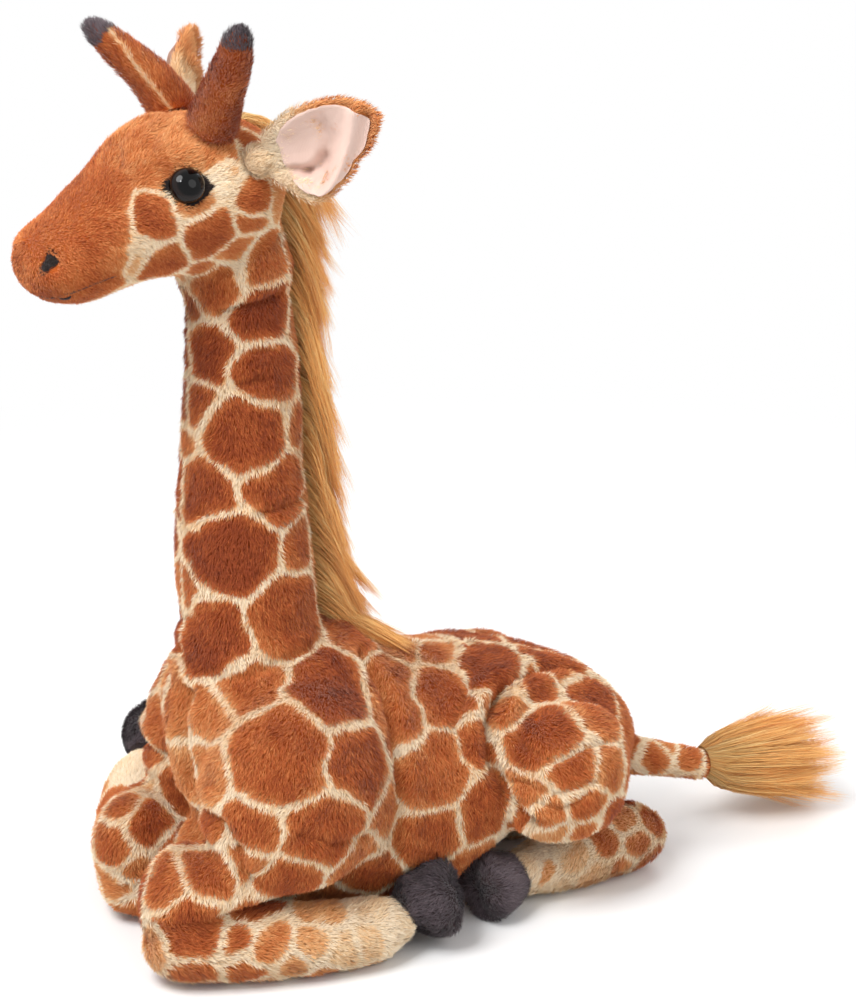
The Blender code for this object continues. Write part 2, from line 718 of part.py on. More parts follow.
tuft_start = tail_root + tail_direction * TAIL_LENGTH
tuft_stations = []
for along, fullness in TUFT_station_shares:
    radius = fullness * TUFT_RADIUS
    resting = radius - FLOOR_SETTLE
    aloft = max(1 - along / TUFT_LANDING_share, 0)
    height = resting + (tuft_start.z - resting) * aloft
    tuft_stations.append((Vector((0, tuft_start.y + along * TUFT_LENGTH, height)), radius, radius))
tuft = ride(keep(stuffed("tail_tuft", tuft_stations), gold_hair), tail_pivot)
cut(tuft, tail_cutter, floor)
cut(torso, ball(tail_root, TAIL_ROOT_RADIUS + SEAM_GAP))


# Forelegs: shoulder and forearm stay on the body, the lower leg swings out at the knee
LIMB_SIDES = 6
SHOULDER_station_shares = (
    # outward and back in shares of the torso's breadth and length, up, half thickness, half length
    (0.300, -0.225, 1.220, 0.17, 0.18),
    (0.335, -0.250, 1.130, 0.34, 0.34),
    (0.356, -0.300, 0.965, 0.47, 0.465),
    (0.380, -0.323, 0.760, 0.50, 0.50),
    (0.400, -0.330, 0.520, 0.42, 0.40),
    (0.410, -0.330, 0.350, 0.26, 0.24),
)
FOREARM_station_shares = (
    (0.407, -0.370, 0.480, 0.90, 0.90),
    (0.390, -0.460, 0.420, 1.00, 1.00),
    (0.362, -0.560, 0.385, 0.94, 0.94),
    (0.350, -0.612, 0.375, 0.52, 0.52),
)
KNEE_place_shares = (0.354, -0.527)
FORELEG_station_shares = (
    # back from the knee, outward, radius
    (-0.165, 0.000, 0.44),
    (-0.110, 0.000, 0.86),
    (0.020, 0.020, 1.00),
    (0.220, 0.100, 0.89),
    (0.500, 0.160, 0.80),
    (0.800, 0.140, 0.76),
)
FORE_HOOF_station_shares = (
    (0.735, 0.150, 0.50),
    (0.785, 0.142, 0.94),
    (0.905, 0.120, 0.98),
    (0.975, 0.104, 0.55),
)
FORE_HOOF_LIFT = 6 * mm


def by_torso(side, outward, back, height):
    return Vector((side * outward * TORSO_WIDTH, back * TORSO_LENGTH, height))


def on_body(shares, breadth, length, height, side):
    # Stations given outward and back in shares of the torso, and up in shares of the height
    return [(by_torso(side, x, y, z * height), b * breadth, l * length) for x, y, z, b, l in shares]


def on_floor(tucked, shares, length, radii, side, lift=0.0, swing=0.0):
    # A leg that lies on the floor when it is tucked in, each station's underside level with the
    # joint's, and then swings about the Z of the tucked frame
    radius, base_radius = radii
    slope = (tucked.to_3x3().inverted() @ Z_AXIS).x
    frame = tucked @ Matrix.Rotation(swing, 4, "Z")
    stations = []
    for along, outward, fullness in shares:
        size = fullness * radius
        sideways = side * outward * length
        rise = size - base_radius + lift - sideways * slope
        stations.append((frame @ Vector((sideways, along * length, rise)), size, size))
    return stations


def make_foreleg(side_name, side):
    swing = -side * (KNEE_SWING_LEFT if side == LEFT else KNEE_SWING_RIGHT)
    shoulder_size = (SHOULDER_THICKNESS, SHOULDER_LENGTH, SHOULDER_HEIGHT)
    shoulder_stations = on_body(SHOULDER_station_shares, *shoulder_size, side)
    shoulder = keep(stuffed("shoulder_" + side_name, shoulder_stations), spotted_plush)
    shoulder_cutter = keep_cutter(stuffed("shoulder", shoulder_stations, grow=SEAM_GAP))
    forearm_stations = on_body(FOREARM_station_shares, FOREARM_RADIUS, FOREARM_RADIUS, SHOULDER_HEIGHT, side)
    forearm = keep(stuffed("forearm_" + side_name, forearm_stations, count=LIMB_SIDES), spotted_plush)

    knee = by_torso(side, *KNEE_place_shares, FORELEG_RADIUS - FLOOR_SETTLE)
    upright = Matrix.Translation(knee) @ Matrix.Rotation(-side * KNEE_TILT, 4, "Y")
    knee_pivot = pivot("knee_pivot_" + side_name, upright)
    seat_plane = upright @ Matrix.Translation(Z_AXIS * KNEE_SEAT_HEIGHT)
    above_seat = half_space(seat_plane @ Matrix.Rotation(pi, 4, "X"), FORELEG_LENGTH)
    below_seat = half_space(seat_plane @ Matrix.Translation(Z_AXIS * SEAM_GAP), FORELEG_LENGTH)
    cut(shoulder, torso_cutter, below_seat)
    cut(forearm, shoulder_cutter, torso_cutter, below_seat)

    def hoof_form(name, turn, grow=0.0):
        radii = (FORE_HOOF_RADIUS, FORELEG_RADIUS)
        stations = on_floor(upright, FORE_HOOF_station_shares, FORELEG_LENGTH, radii, side,
                            FORE_HOOF_LIFT, turn)
        across = upright.to_3x3() @ Matrix.Rotation(turn, 3, "Z") @ X_AXIS
        return stuffed(name, stations, across, LIMB_SIDES, grow)

    radii = (FORELEG_RADIUS, FORELEG_RADIUS)
    leg_stations = on_floor(upright, FORELEG_station_shares, FORELEG_LENGTH, radii, side, swing=swing)
    leg_across = upright.to_3x3() @ Matrix.Rotation(swing, 3, "Z") @ X_AXIS
    lower = keep(stuffed("foreleg_" + side_name, leg_stations, leg_across, LIMB_SIDES), spotted_plush)
    hoof = keep(hoof_form("fore_hoof_" + side_name, swing), charcoal_plush)
    hoof_cutter = keep_cutter(hoof_form("hoof", swing, SEAM_GAP))
    cut(ride(lower, knee_pivot), hoof_cutter, above_seat, floor)
    cut(ride(hoof, knee_pivot), floor)

    # The belly gives way to the hoof when the leg is tucked in
    cut(torso, keep_cutter(hoof_form("tucked_hoof", 0.0, SEAM_GAP)))


for side_name, side in SIDES.items():
    make_foreleg(side_name, side)


# Hind legs: the haunch stays on the body, the lower leg swings out at the hock
HAUNCH_station_shares = (
    # outward and back in shares of the torso's breadth and length, up, half thickness, half length
    (0.405, 0.240, 1.270, 0.17, 0.22),
    (0.435, 0.238, 1.190, 0.33, 0.40),
    (0.458, 0.234, 1.050, 0.47, 0.49),
    (0.468, 0.232, 0.875, 0.50, 0.50),
    (0.452, 0.244, 0.690, 0.45, 0.48),
    (0.416, 0.262, 0.500, 0.32, 0.38),
)
HOCK_place_shares = (0.250, 0.420)
HINDLEG_station_shares = (
    # forward from the hock, outward, radius
    (-0.215, 0.000, 0.46),
    (-0.140, 0.000, 0.86),
    (0.040, 0.010, 1.00),
    (0.280, 0.040, 0.97),
    (0.520, 0.085, 0.86),
    (0.720, 0.125, 0.80),
)
HIND_HOOF_station_shares = (
    (0.645, 0.110, 0.50),
    (0.710, 0.125, 0.94),
    (0.860, 0.160, 0.98),
    (0.950, 0.175, 0.55),
)


def make_hind_leg(side_name, side):
    haunch_stations = on_body(HAUNCH_station_shares, HAUNCH_THICKNESS, HAUNCH_LENGTH, HAUNCH_HEIGHT, side)
    haunch = keep(stuffed("haunch_" + side_name, haunch_stations), spotted_plush)
    frame = Matrix.Translation(by_torso(side, *HOCK_place_shares, HINDLEG_RADIUS - FLOOR_SETTLE))
    forward = frame @ Matrix.Rotation(pi, 4, "Z")
    hock_pivot = pivot("hock_pivot_" + side_name, frame)
    seat_plane = frame @ Matrix.Translation(Z_AXIS * HOCK_SEAT_HEIGHT)
    above_seat = half_space(seat_plane @ Matrix.Rotation(pi, 4, "X"), HINDLEG_LENGTH)
    below_seat = half_space(seat_plane @ Matrix.Translation(Z_AXIS * SEAM_GAP), HINDLEG_LENGTH)
    cut(haunch, torso_cutter, below_seat)

    leg_radii = (HINDLEG_RADIUS, HINDLEG_RADIUS)
    hoof_radii = (HIND_HOOF_RADIUS, HINDLEG_RADIUS)
    leg_stations = on_floor(forward, HINDLEG_station_shares, HINDLEG_LENGTH, leg_radii, -side)
    hoof_stations = on_floor(forward, HIND_HOOF_station_shares, HINDLEG_LENGTH, hoof_radii, -side)
    lower = keep(stuffed("hindleg_" + side_name, leg_stations, count=LIMB_SIDES), spotted_plush)
    hoof = keep(stuffed("hind_hoof_" + side_name, hoof_stations, count=LIMB_SIDES), charcoal_plush)
    hoof_cutter = keep_cutter(stuffed("hoof", hoof_stations, X_AXIS, LIMB_SIDES, SEAM_GAP))
    cut(ride(lower, hock_pivot), hoof_cutter, above_seat, floor)
    cut(ride(hoof, hock_pivot), floor)
    cut(torso, hoof_cutter)


for side_name, side in SIDES.items():
    make_hind_leg(side_name, side)
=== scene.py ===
import json
from math import cos, pi, radians, sin

import bmesh
import bpy
import numpy as np
from mathutils import Matrix, Vector
from mathutils.bvhtree import BVHTree


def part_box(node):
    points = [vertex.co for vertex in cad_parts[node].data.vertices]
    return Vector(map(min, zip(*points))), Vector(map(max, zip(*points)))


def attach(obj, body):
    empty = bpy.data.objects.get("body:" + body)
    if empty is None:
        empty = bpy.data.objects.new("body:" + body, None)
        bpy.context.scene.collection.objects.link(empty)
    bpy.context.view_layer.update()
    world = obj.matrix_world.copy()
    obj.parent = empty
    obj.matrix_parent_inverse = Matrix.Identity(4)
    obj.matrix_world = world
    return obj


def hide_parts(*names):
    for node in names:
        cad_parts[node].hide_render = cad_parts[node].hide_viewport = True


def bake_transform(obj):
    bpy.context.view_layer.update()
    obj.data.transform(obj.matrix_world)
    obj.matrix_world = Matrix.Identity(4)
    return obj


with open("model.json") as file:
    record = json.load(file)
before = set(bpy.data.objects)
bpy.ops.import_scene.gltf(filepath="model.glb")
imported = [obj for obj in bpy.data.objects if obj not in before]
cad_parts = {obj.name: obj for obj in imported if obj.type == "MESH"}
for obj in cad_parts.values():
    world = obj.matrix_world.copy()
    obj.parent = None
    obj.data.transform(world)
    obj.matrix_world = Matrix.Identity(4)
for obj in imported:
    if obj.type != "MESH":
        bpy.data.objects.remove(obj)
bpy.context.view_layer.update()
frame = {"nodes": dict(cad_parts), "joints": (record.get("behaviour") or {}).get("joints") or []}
joints = {joint["name"]: joint for joint in frame["joints"]}
mm = 0.001
sides = {"left": 1, "right": -1}
print("frame loaded,", len(frame["nodes"]), "nodes")

# The camera stands where the photograph was taken from
view = {
    "azimuth": 65.0,  # degrees, round from straight ahead of the giraffe
    "elevation": 19.0,
    "distance": 1.25,
    "target": (0.0186, 0.0, 0.225),
    "lens": 90.0,
    "sensor": 36.0,  # mm, along the height
    "width": 856,
    "height": 1000,
}


def standing(x, z):
    # The turn that lays the first axis along x and the third along z
    return Matrix((x, z.cross(x), z)).transposed().to_4x4()


def lookingFrom(azimuth, elevation):
    a, e = radians(azimuth), radians(elevation)
    back = Vector((sin(a) * cos(e), -cos(a) * cos(e), sin(e)))
    return standing(Vector((cos(a), sin(a), 0)), back)


eyePoint = lookingFrom(view["azimuth"], view["elevation"])
eyePoint.translation = Vector(view["target"]) + eyePoint.col[2].to_3d() * view["distance"]
cameraData = bpy.data.cameras.new("camera")
cameraData.sensor_fit = "VERTICAL"
cameraData.sensor_height = view["sensor"]
cameraData.lens = view["lens"]
camera = bpy.data.objects.new("camera", cameraData)
camera.matrix_world = eyePoint
bpy.context.scene.collection.objects.link(camera)
bpy.context.scene.camera = camera
pixelSize = view["distance"] * view["sensor"] / view["lens"] / view["height"]


def photoRay(x, y):
    # Where the camera stands, and the way that it looks through one of the photograph's pixels
    focal = view["lens"] / view["sensor"] * view["height"]
    ray = Vector((x - view["width"] / 2, view["height"] / 2 - y, -focal))
    return eyePoint.translation, (eyePoint.to_3x3() @ ray).normalized()


# One wrapper for every material: values are combined as plain expressions
class Thread:
    def __init__(self, tree, socket=None):
        self.tree = tree
        self.socket = socket

    def feed(self, target, value):
        if isinstance(value, Thread):
            self.tree.links.new(value.socket, target)
        else:
            target.default_value = value

    def node(self, kind, settings=None, inputs=None, out=0):
        made = self.tree.nodes.new("ShaderNode" + kind)
        for name, value in (settings or {}).items():
            if name == "stops":
                ramp = made.color_ramp.elements
                while len(ramp) < len(value):
                    ramp.new(0.5)
                for stop, (place, colour) in zip(ramp, value):
                    stop.position = place
                    stop.color = (*colour, 1.0)
            else:
                setattr(made, name, value)
        for name, value in (inputs or {}).items():
            self.feed(made.inputs[name], value)
        return Thread(self.tree, made.outputs[out])

    def sum(self, operation, first, second):
        return self.node("Math", {"operation": operation}, {0: first, 1: second})

    def __add__(self, other):
        return self.sum("ADD", self, other)

    def __radd__(self, other):
        return self.sum("ADD", other, self)

    def __sub__(self, other):
        return self.sum("SUBTRACT", self, other)

    def __rsub__(self, other):
        return self.sum("SUBTRACT", other, self)

    def __mul__(self, other):
        return self.sum("MULTIPLY", self, other)

    def __rmul__(self, other):
        return self.sum("MULTIPLY", other, self)

    def tint(self, first, second, factor=1.0, mode="MIX"):
        settings = {"data_type": "RGBA", "blend_type": mode}
        return self.node("Mix", settings, {0: factor, 6: first, 7: second}, 2)


def dye(red, green, blue):
    # A colour as the eye reads it, 0 to 255, in the linear values that the shader takes
    shares = (value / 255 for value in (red, green, blue))
    return tuple(c / 12.92 if c <= 0.04045 else ((c + 0.055) / 1.055) ** 2.4 for c in shares)


def newMaterial(name, sockets):
    material = bpy.data.materials.new(name)
    material.use_nodes = True
    shader = material.node_tree.nodes["Principled BSDF"]
    for socket, value in sockets.items():
        shader.inputs[socket].default_value = value
    return material, Thread(material.node_tree), shader


# The dyes of the printed plush, from the cream network to the darkest patch
hideStops = (
    (0.00, dye(252, 236, 210)),
    (0.16, dye(246, 216, 172)),
    (0.36, dye(236, 178, 118)),
    (0.58, dye(216, 134, 74)),
    (0.78, dye(190, 96, 44)),
    (1.00, dye(146, 62, 26)),
)
charcoalStops = ((0.0, dye(122, 108, 112)), (0.5, dye(92, 80, 85)), (1.0, dye(58, 50, 54)))
goldStops = (
    (0.0, dye(255, 226, 160)),
    (0.4, dye(252, 196, 118)),
    (0.75, dye(232, 156, 80)),
    (1.0, dye(186, 108, 50)),
)
nightStops = ((0.0, dye(60, 46, 40)), (1.0, dye(20, 14, 14)))


def pileFinish(name, stops, rootPaintedShade, roughness):
    # Across the map runs the dye, and up it runs the fibre from its root to its tip, darkened toward
    # the root as painted shade where the fibres shade one another
    sheen = {"Sheen Weight": 0.2, "Sheen Roughness": 0.5}
    sockets = {"Roughness": roughness, "Specular IOR Level": 0.25, **sheen}
    material, thread, shader = newMaterial(name, sockets)
    chart = thread.node("UVMap", {"uv_map": "OFBake"})
    across, along = (thread.node("SeparateXYZ", inputs={0: chart}, out=axis) for axis in (0, 1))
    dyed = thread.node("ValToRGB", {"stops": stops}, {0: across})
    # painted shade: the fibre's colour falls from its middle to a darker share at its root
    paintedShadeStops = ((0.0, (rootPaintedShade,) * 3), (0.55, (1.0,) * 3))
    shade = thread.node("ValToRGB", {"stops": paintedShadeStops}, {0: along})
    colour = thread.tint(dyed, shade, 1.0, "MULTIPLY")
    thread.feed(shader.inputs["Base Color"], colour)
    return material


def backingFinish(name, stops, depth):
    # The knitted backing between the fibres: the same dyes, darkened by depth as painted shade under
    # the pile, with its stitches in relief
    material, thread, shader = newMaterial(name, {"Roughness": 0.95, "Specular IOR Level": 0.1})
    tone = thread.node("Attribute", {"attribute_name": "tone"}, out=2)
    place = thread.node("TexCoord", out=3)
    mottle = thread.node("TexNoise", inputs={"Vector": place, "Scale": 420.0, "Detail": 3.0})
    dyed = thread.node("ValToRGB", {"stops": stops}, {0: tone + (mottle - 0.5) * 0.25})
    # painted shade: depth multiplies the backing's colour down, a little warmer
    deep = thread.tint(dyed, (depth, depth * 0.92, depth * 0.86, 1.0), 1.0, "MULTIPLY")
    stitches = thread.node("TexVoronoi", inputs={"Vector": place, "Scale": 900.0})
    bump = thread.node("Bump", inputs={"Height": stitches, "Strength": 0.5, "Distance": 0.4 * mm})
    thread.feed(shader.inputs["Base Color"], deep)
    thread.feed(shader.inputs["Normal"], bump)
    return material


# the dark roots that each pile is given are painted shade between the fibres
spottedPile = pileFinish("spotted_pile", hideStops, rootPaintedShade=0.70, roughness=0.75)
# the backings' depth is painted shade, darkening them under the pile
spottedBacking = backingFinish("spotted_backing", hideStops, depth=0.80)
charcoalPile = pileFinish("charcoal_pile", charcoalStops, rootPaintedShade=0.45, roughness=0.7)
charcoalBacking = backingFinish("charcoal_backing", charcoalStops, depth=0.6)
nightPile = pileFinish("black_nap", nightStops, rootPaintedShade=0.7, roughness=0.85)
goldHair = pileFinish("gold_hair", goldStops, rootPaintedShade=0.62, roughness=0.5)


# Meshes as arrays: one field of the vertices, edges or triangles, a row for each
def rowsOf(items, field, width, kind=np.float32):
    values = np.empty(len(items) * width, kind)
    items.foreach_get(field, values)
    return values.reshape(-1, width)


def pointsOf(mesh):
    return rowsOf(mesh.vertices, "co", 3).astype(float)


def normalsOf(mesh):
    return rowsOf(mesh.vertices, "normal", 3).astype(float)


def trianglesOf(mesh):
    mesh.calc_loop_triangles()
    return rowsOf(mesh.loop_triangles, "vertices", 3, np.int32)


def setPoints(mesh, co):
    mesh.vertices.foreach_set("co", co.astype(np.float32).ravel())
    mesh.update()


def unit(vectors):
    return vectors / np.maximum(np.linalg.norm(vectors, axis=-1, keepdims=True), 1e-9)


def ripple(points, size, seed):
    # Smooth noise from -1 to 1, whose swells are about the given size
    rng = np.random.default_rng(seed)
    waves = rng.normal(size=(7, 3)) / size * 2.2
    phases = rng.uniform(0, 2 * pi, 7)
    return np.sin(points @ waves.T + phases).sum(1) / 3.2


def smoothStep(value, low, high):
    t = np.clip((value - low) / (high - low), 0, 1)
    return t * t * (3 - 2 * t)


def addObject(name, mesh):
    obj = bpy.data.objects.new(name, mesh)
    bpy.context.scene.collection.objects.link(obj)
    return obj


def rework(mesh, change):
    bm = bmesh.new()
    bm.from_mesh(mesh)
    change(bm)
    bm.to_mesh(mesh)
    bm.free()


def keepOuter(bm):
    # Deletes the small shells that the fused seams leave inside the outer skin
    unseen, parts = set(bm.verts), []
    while unseen:
        part = [unseen.pop()]
        for vert in part:  # which grows by its neighbours until none is left
            near = {edge.other_vert(vert) for edge in vert.link_edges} & unseen
            unseen -= near
            part += near
        parts.append(part)
    for part in sorted(parts, key=len)[:-1]:
        bmesh.ops.delete(bm, geom=part, context="VERTS")


def calm(mesh, rounds):
    # Smooths the facets away, then lets each place out again by what its neighbourhood shrank
    edges = rowsOf(mesh.edges, "vertices", 2, np.int32)
    count = len(mesh.vertices)
    links = np.maximum(np.bincount(edges.ravel(), minlength=count), 1)

    def softened(values, times):
        for _ in range(times):
            near = np.bincount(edges[:, 0], values[edges[:, 1]], count)
            near += np.bincount(edges[:, 1], values[edges[:, 0]], count)
            values = (values + near / links) / 2
        return values

    rough = pointsOf(mesh)
    setPoints(mesh, np.stack([softened(rough[:, k], rounds) for k in range(3)], 1))
    co, nm = pointsOf(mesh), normalsOf(mesh)
    lost = softened(((rough - co) * nm).sum(1), rounds * 2)
    setPoints(mesh, co + nm * lost[:, None])


def ball(middle, radii, axis=(0, 0, 1)):
    # The place of a unit ball, stretched aside, along its front and along its axis
    z = Vector(axis).normalized()
    x = Vector((0, -1, 0)).cross(z).normalized()
    place = standing(x, z) @ Matrix.Diagonal((*radii, 1.0))
    place.translation = Vector(middle)
    return place


def fusedSkin(nodeNames, kind, fillers=()):
    voxel, rounds = formStyle[kind]
    bm = bmesh.new()
    for name in nodeNames:
        bm.from_mesh(frame["nodes"][name].data)
    for place in fillers:
        bmesh.ops.create_uvsphere(bm, u_segments=40, v_segments=24, radius=1.0, matrix=place)
    shape = bpy.data.meshes.new("shape")
    bm.to_mesh(shape)
    bm.free()
    obj = addObject("shape", shape)
    fuse = obj.modifiers.new("fuse", "REMESH")
    fuse.mode = "VOXEL"
    fuse.voxel_size = voxel
    bpy.context.view_layer.update()
    graph = bpy.context.evaluated_depsgraph_get()
    mesh = bpy.data.meshes.new_from_object(obj.evaluated_get(graph))
    bpy.data.objects.remove(obj)
    rework(mesh, keepOuter)
    calm(mesh, rounds)
    mesh.shade_smooth()
    return mesh


def sink(mesh, depth):
    # Leaves room for the pile, and for the pile that lies on the floor
    co = pointsOf(mesh) - normalsOf(mesh) * np.reshape(depth, (-1, 1))
    co[:, 2] = np.maximum(co[:, 2], formStyle["floor"])
    setPoints(mesh, co)


def surfaceOf(mesh):
    return BVHTree.FromPolygons([tuple(v) for v in pointsOf(mesh)], trianglesOf(mesh).tolist())


# The stuffed forms under the pile, each fused from the solids that its cloth covers
headFoot = Vector(joints["head_nod"]["pos_m"])
headLeft = Vector(joints["head_nod"]["axis"]).normalized()
headFront = headLeft.cross(Vector((0, 0, 1)))

formStyle = {
    # the voxel that fuses the solids, and the rounds that smooth the skin
    "body": (2.2 * mm, 24),
    "leg": (1.7 * mm, 16),
    "small": (1.4 * mm, 8),
    "tail": (1.7 * mm, 8),
    "ear": (1.0 * mm, 5),
    # how far the skin lies under the solid's face
    "bodySink": 2.2 * mm,
    "headSink": 1.4 * mm,
    "legSink": 2.0 * mm,
    "smallSink": 1.6 * mm,
    "earSink": 0.5 * mm,
    "floor": 0.8 * mm,  # the lowest that a skin comes
    # balls of stuffing where two solids meet at a bend: their middles and radii
    "collar": ((0, -0.0905, 0.150), (0.0385, 0.0385, 0.040)),
    "throat": ((0, -0.093, 0.350), (0.0285, 0.0285, 0.026)),
    "brisket": ((0, -0.082, 0.042), (0.030, 0.052, 0.038)),
    "elbow": ((0.050, -0.090, 0.0655), (20 * mm, 34 * mm, 21 * mm)),
    "knee": (22 * mm, 27 * mm, 32 * mm),
    "kneeRise": 17.5 * mm,  # from the knee's hinge up to the seam between forearm and lower leg
    "earRoot": 4.6 * mm,
}
kneePlaces, kneeAxes = {}, {}
for sideName in sides:
    kneeAxes[sideName] = Vector(joints["knee_swing_" + sideName]["axis"]).normalized()
    hinge = Vector(joints["knee_swing_" + sideName]["pos_m"])
    kneePlaces[sideName] = hinge + kneeAxes[sideName] * formStyle["kneeRise"]


def kneeBulb(sideName):
    return ball(kneePlaces[sideName], formStyle["knee"], kneeAxes[sideName])


bodyNodes = ["torso", "neck", "head"]
bodyFillers = [ball(*formStyle[name]) for name in ("collar", "throat", "brisket")]
(elbowX, elbowY, elbowZ), elbowRadii = formStyle["elbow"]
for sideName, side in sides.items():
    bodyNodes += [part + "_" + sideName for part in ("shoulder", "forearm", "haunch")]
    bodyFillers += [kneeBulb(sideName), ball((side * elbowX, elbowY, elbowZ), elbowRadii)]
skins = {"body": fusedSkin(bodyNodes, "body", bodyFillers)}
for sideName in sides:
    parts = ("foreleg", "hindleg", "horn", "ear")
    foreleg, hindleg, horn, ear = (part + "_" + sideName for part in parts)
    skins[foreleg] = fusedSkin([foreleg], "leg", [kneeBulb(sideName)])
    skins[hindleg] = fusedSkin([hindleg], "leg")
    for end in ("fore", "hind"):
        hoofName = end + "_hoof_" + sideName
        skins[hoofName] = fusedSkin([hoofName], "small")
    skins[horn] = fusedSkin([horn, "horn_tip_" + sideName], "small")
    root = ball(joints["ear_flap_" + sideName]["pos_m"], (formStyle["earRoot"],) * 3)
    skins[ear] = fusedSkin([ear], "ear", [root])
skins["tail"] = fusedSkin(["tail"], "tail")
print("forms fused")

# The head's own shape
headShape = {
    # in millimetres: how far it stands out, its place forward of the head's hinge, to its left
    # and up, and its breadth along each of these
    "stop": (-2.6, (70, 0, 42), (15, 40, 16)),
    "nose": (-1.0, (100, 0, 24), (14, 30, 10)),
    "forehead": (1.8, (46, 0, 58), (16, 26, 12)),
    "chin": (6.0, (84, 0, -9), (22, 24, 12)),
    "brow": (3.0, (44, 30, 53), (11, 9, 6)),
    "underBrow": (-2.6, (53, 31, 42), (6, 9, 8)),
    "cheek": (2.2, (34, 34, 22), (14, 12, 11)),
    "lip": (1.8, (97, 14, 2), (12, 10, 7)),
    "nostril": (-1.6, (106, 17.5, 9.5), (5, 5, 5)),
}


def inHead(points):
    # Millimetres forward of the head's hinge, to its left and up
    away = points - np.array(headFoot)
    return np.stack([away @ np.array(headFront), away @ np.array(headLeft), away[:, 2]], 1) / mm


# Where the trunk, the neck and the head meet
seamStyle = {
    "headEdge": Vector((0, -0.110, 0.350)),
    "headward": Vector((0, -0.5, 0.87)),
    "headAbove": 0.345,  # a crease that starts above this is the head's
    "neckAbove": 0.150,
    "neckMiddle": -0.0905,  # along y
    "neckReach": 0.058,
    "neckHalf": 0.255,  # the height at which its lower and its upper skin meet
}
headEdge, headward = seamStyle["headEdge"], seamStyle["headward"]
bodyMesh = skins["body"]
co, nm = pointsOf(bodyMesh), normalsOf(bodyMesh)
onHead = smoothStep((co - np.array(headEdge)) @ np.array(headward), -6 * mm, 4 * mm)
onHead *= co[:, 2] > 0.33
local = inHead(co)
lift = np.zeros(len(co))
for height, middle, breadth in headShape.values():
    for side in (1, -1) if middle[1] else (1,):
        away = (local - np.array(middle) * (1, side, 1)) / np.array(breadth)
        lift += height * np.exp(-(away ** 2).sum(1))
setPoints(bodyMesh, co + nm * (lift * onHead * mm)[:, None])
sink(bodyMesh, formStyle["bodySink"] + (formStyle["headSink"] - formStyle["bodySink"]) * onHead)


# Creases and sewn seams, along lines that the photograph shows
creases = (
    # depth and breadth in millimetres, then the line in the picture's pixels
    (3.0, 3.0, (222, 309), (250, 303), (278, 292), (298, 283)),
    (2.2, 2.6, (236, 384), (262, 378), (300, 364)),
    (1.2, 2.0, (240, 352), (270, 347), (300, 345)),
    (1.2, 2.0, (196, 330), (225, 336)),
    (2.4, 2.6, (262, 511), (282, 504), (300, 494)),
    (1.4, 2.4, (180, 520), (205, 512)),
    (1.8, 4.0, (184, 652), (200, 668), (222, 678), (252, 672), (285, 658), (312, 646)),
    (4.5, 4.5, (192, 690), (186, 740), (196, 785), (220, 820), (240, 846)),
    (4.2, 4.5, (360, 655), (382, 690), (392, 735), (398, 790), (394, 850)),
    (3.0, 3.5, (238, 850), (252, 880), (250, 925)),
    (2.0, 3.0, (300, 832), (330, 842), (368, 830)),
    (7.0, 4.5, (500, 690), (487, 722), (490, 760), (507, 790), (528, 815)),
    (4.0, 3.6, (495, 702), (508, 684), (530, 672), (562, 668), (596, 684)),
    (1.8, 2.4, (505, 726), (522, 742), (548, 760)),
    (2.4, 2.4, (552, 764), (580, 750), (604, 742)),
    (2.6, 2.4, (520, 778), (552, 792), (592, 780)),
    (2.6, 2.4, (535, 798), (560, 806), (585, 792)),
    (1.6, 3.0, (460, 640), (468, 690), (452, 730)),
    (1.4, 2.4, (118, 168), (120, 140), (150, 122)),
    (1.2, 2.2, (148, 152), (156, 136), (170, 126)),
)
surfaces = {name: surfaceOf(mesh) for name, mesh in skins.items()}


def throughPhoto(x, y, names=("body",)):
    # The nearest point of those skins that the photograph's pixel looks at
    hits = [surfaces[name].ray_cast(*photoRay(x, y)) for name in names]
    hits = [hit for hit in hits if hit[0] is not None]
    return min(hits, key=lambda hit: hit[3])[0] if hits else None


def onHide(line):
    places = [throughPhoto(x, y) for x, y in line]
    return [place for place in places if place is not None]


def alongLine(points, line):
    # Distance from each point to a line of corners
    nearest = np.full(len(points), 1e3)
    for a, b in zip(line, line[1:]):
        a, b = np.array(a), np.array(b)
        t = np.clip(((points - a) @ (b - a)) / ((b - a) @ (b - a)), 0, 1)
        nearest = np.minimum(nearest, np.linalg.norm(points - a - t[:, None] * (b - a), axis=1))
    return nearest


def mirrorInHead(place):
    return place - headLeft * 2 * (place - headFoot).dot(headLeft)


def mirrorInBody(place):
    return Vector((-place.x, place.y, place.z))


co, nm = pointsOf(bodyMesh), normalsOf(bodyMesh)
shape = co.copy()
for depth, breadth, *line in creases:
    places = onHide(line)
    mirror = mirrorInHead if places[0].z > seamStyle["headAbove"] else mirrorInBody
    for corners in (places, [mirror(place) for place in places]):
        away = alongLine(co, corners) / mm
        # the stuffing swells a little at both sides of the dip
        dip = np.exp(-(away / breadth) ** 2) - 0.4 * np.exp(-((away - 2 * breadth) / breadth) ** 2)
        shape -= nm * (dip * depth * mm)[:, None]
shape += nm * (ripple(co, 30 * mm, 11) * 0.5 * mm * (1 - onHead))[:, None]
shape[:, 2] = np.maximum(shape[:, 2], formStyle["floor"])
setPoints(bodyMesh, shape)
surfaces["body"] = surfaceOf(bodyMesh)
print("creases sewn")


def middleOf(name):
    low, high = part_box(name)
    return (low + high) / 2


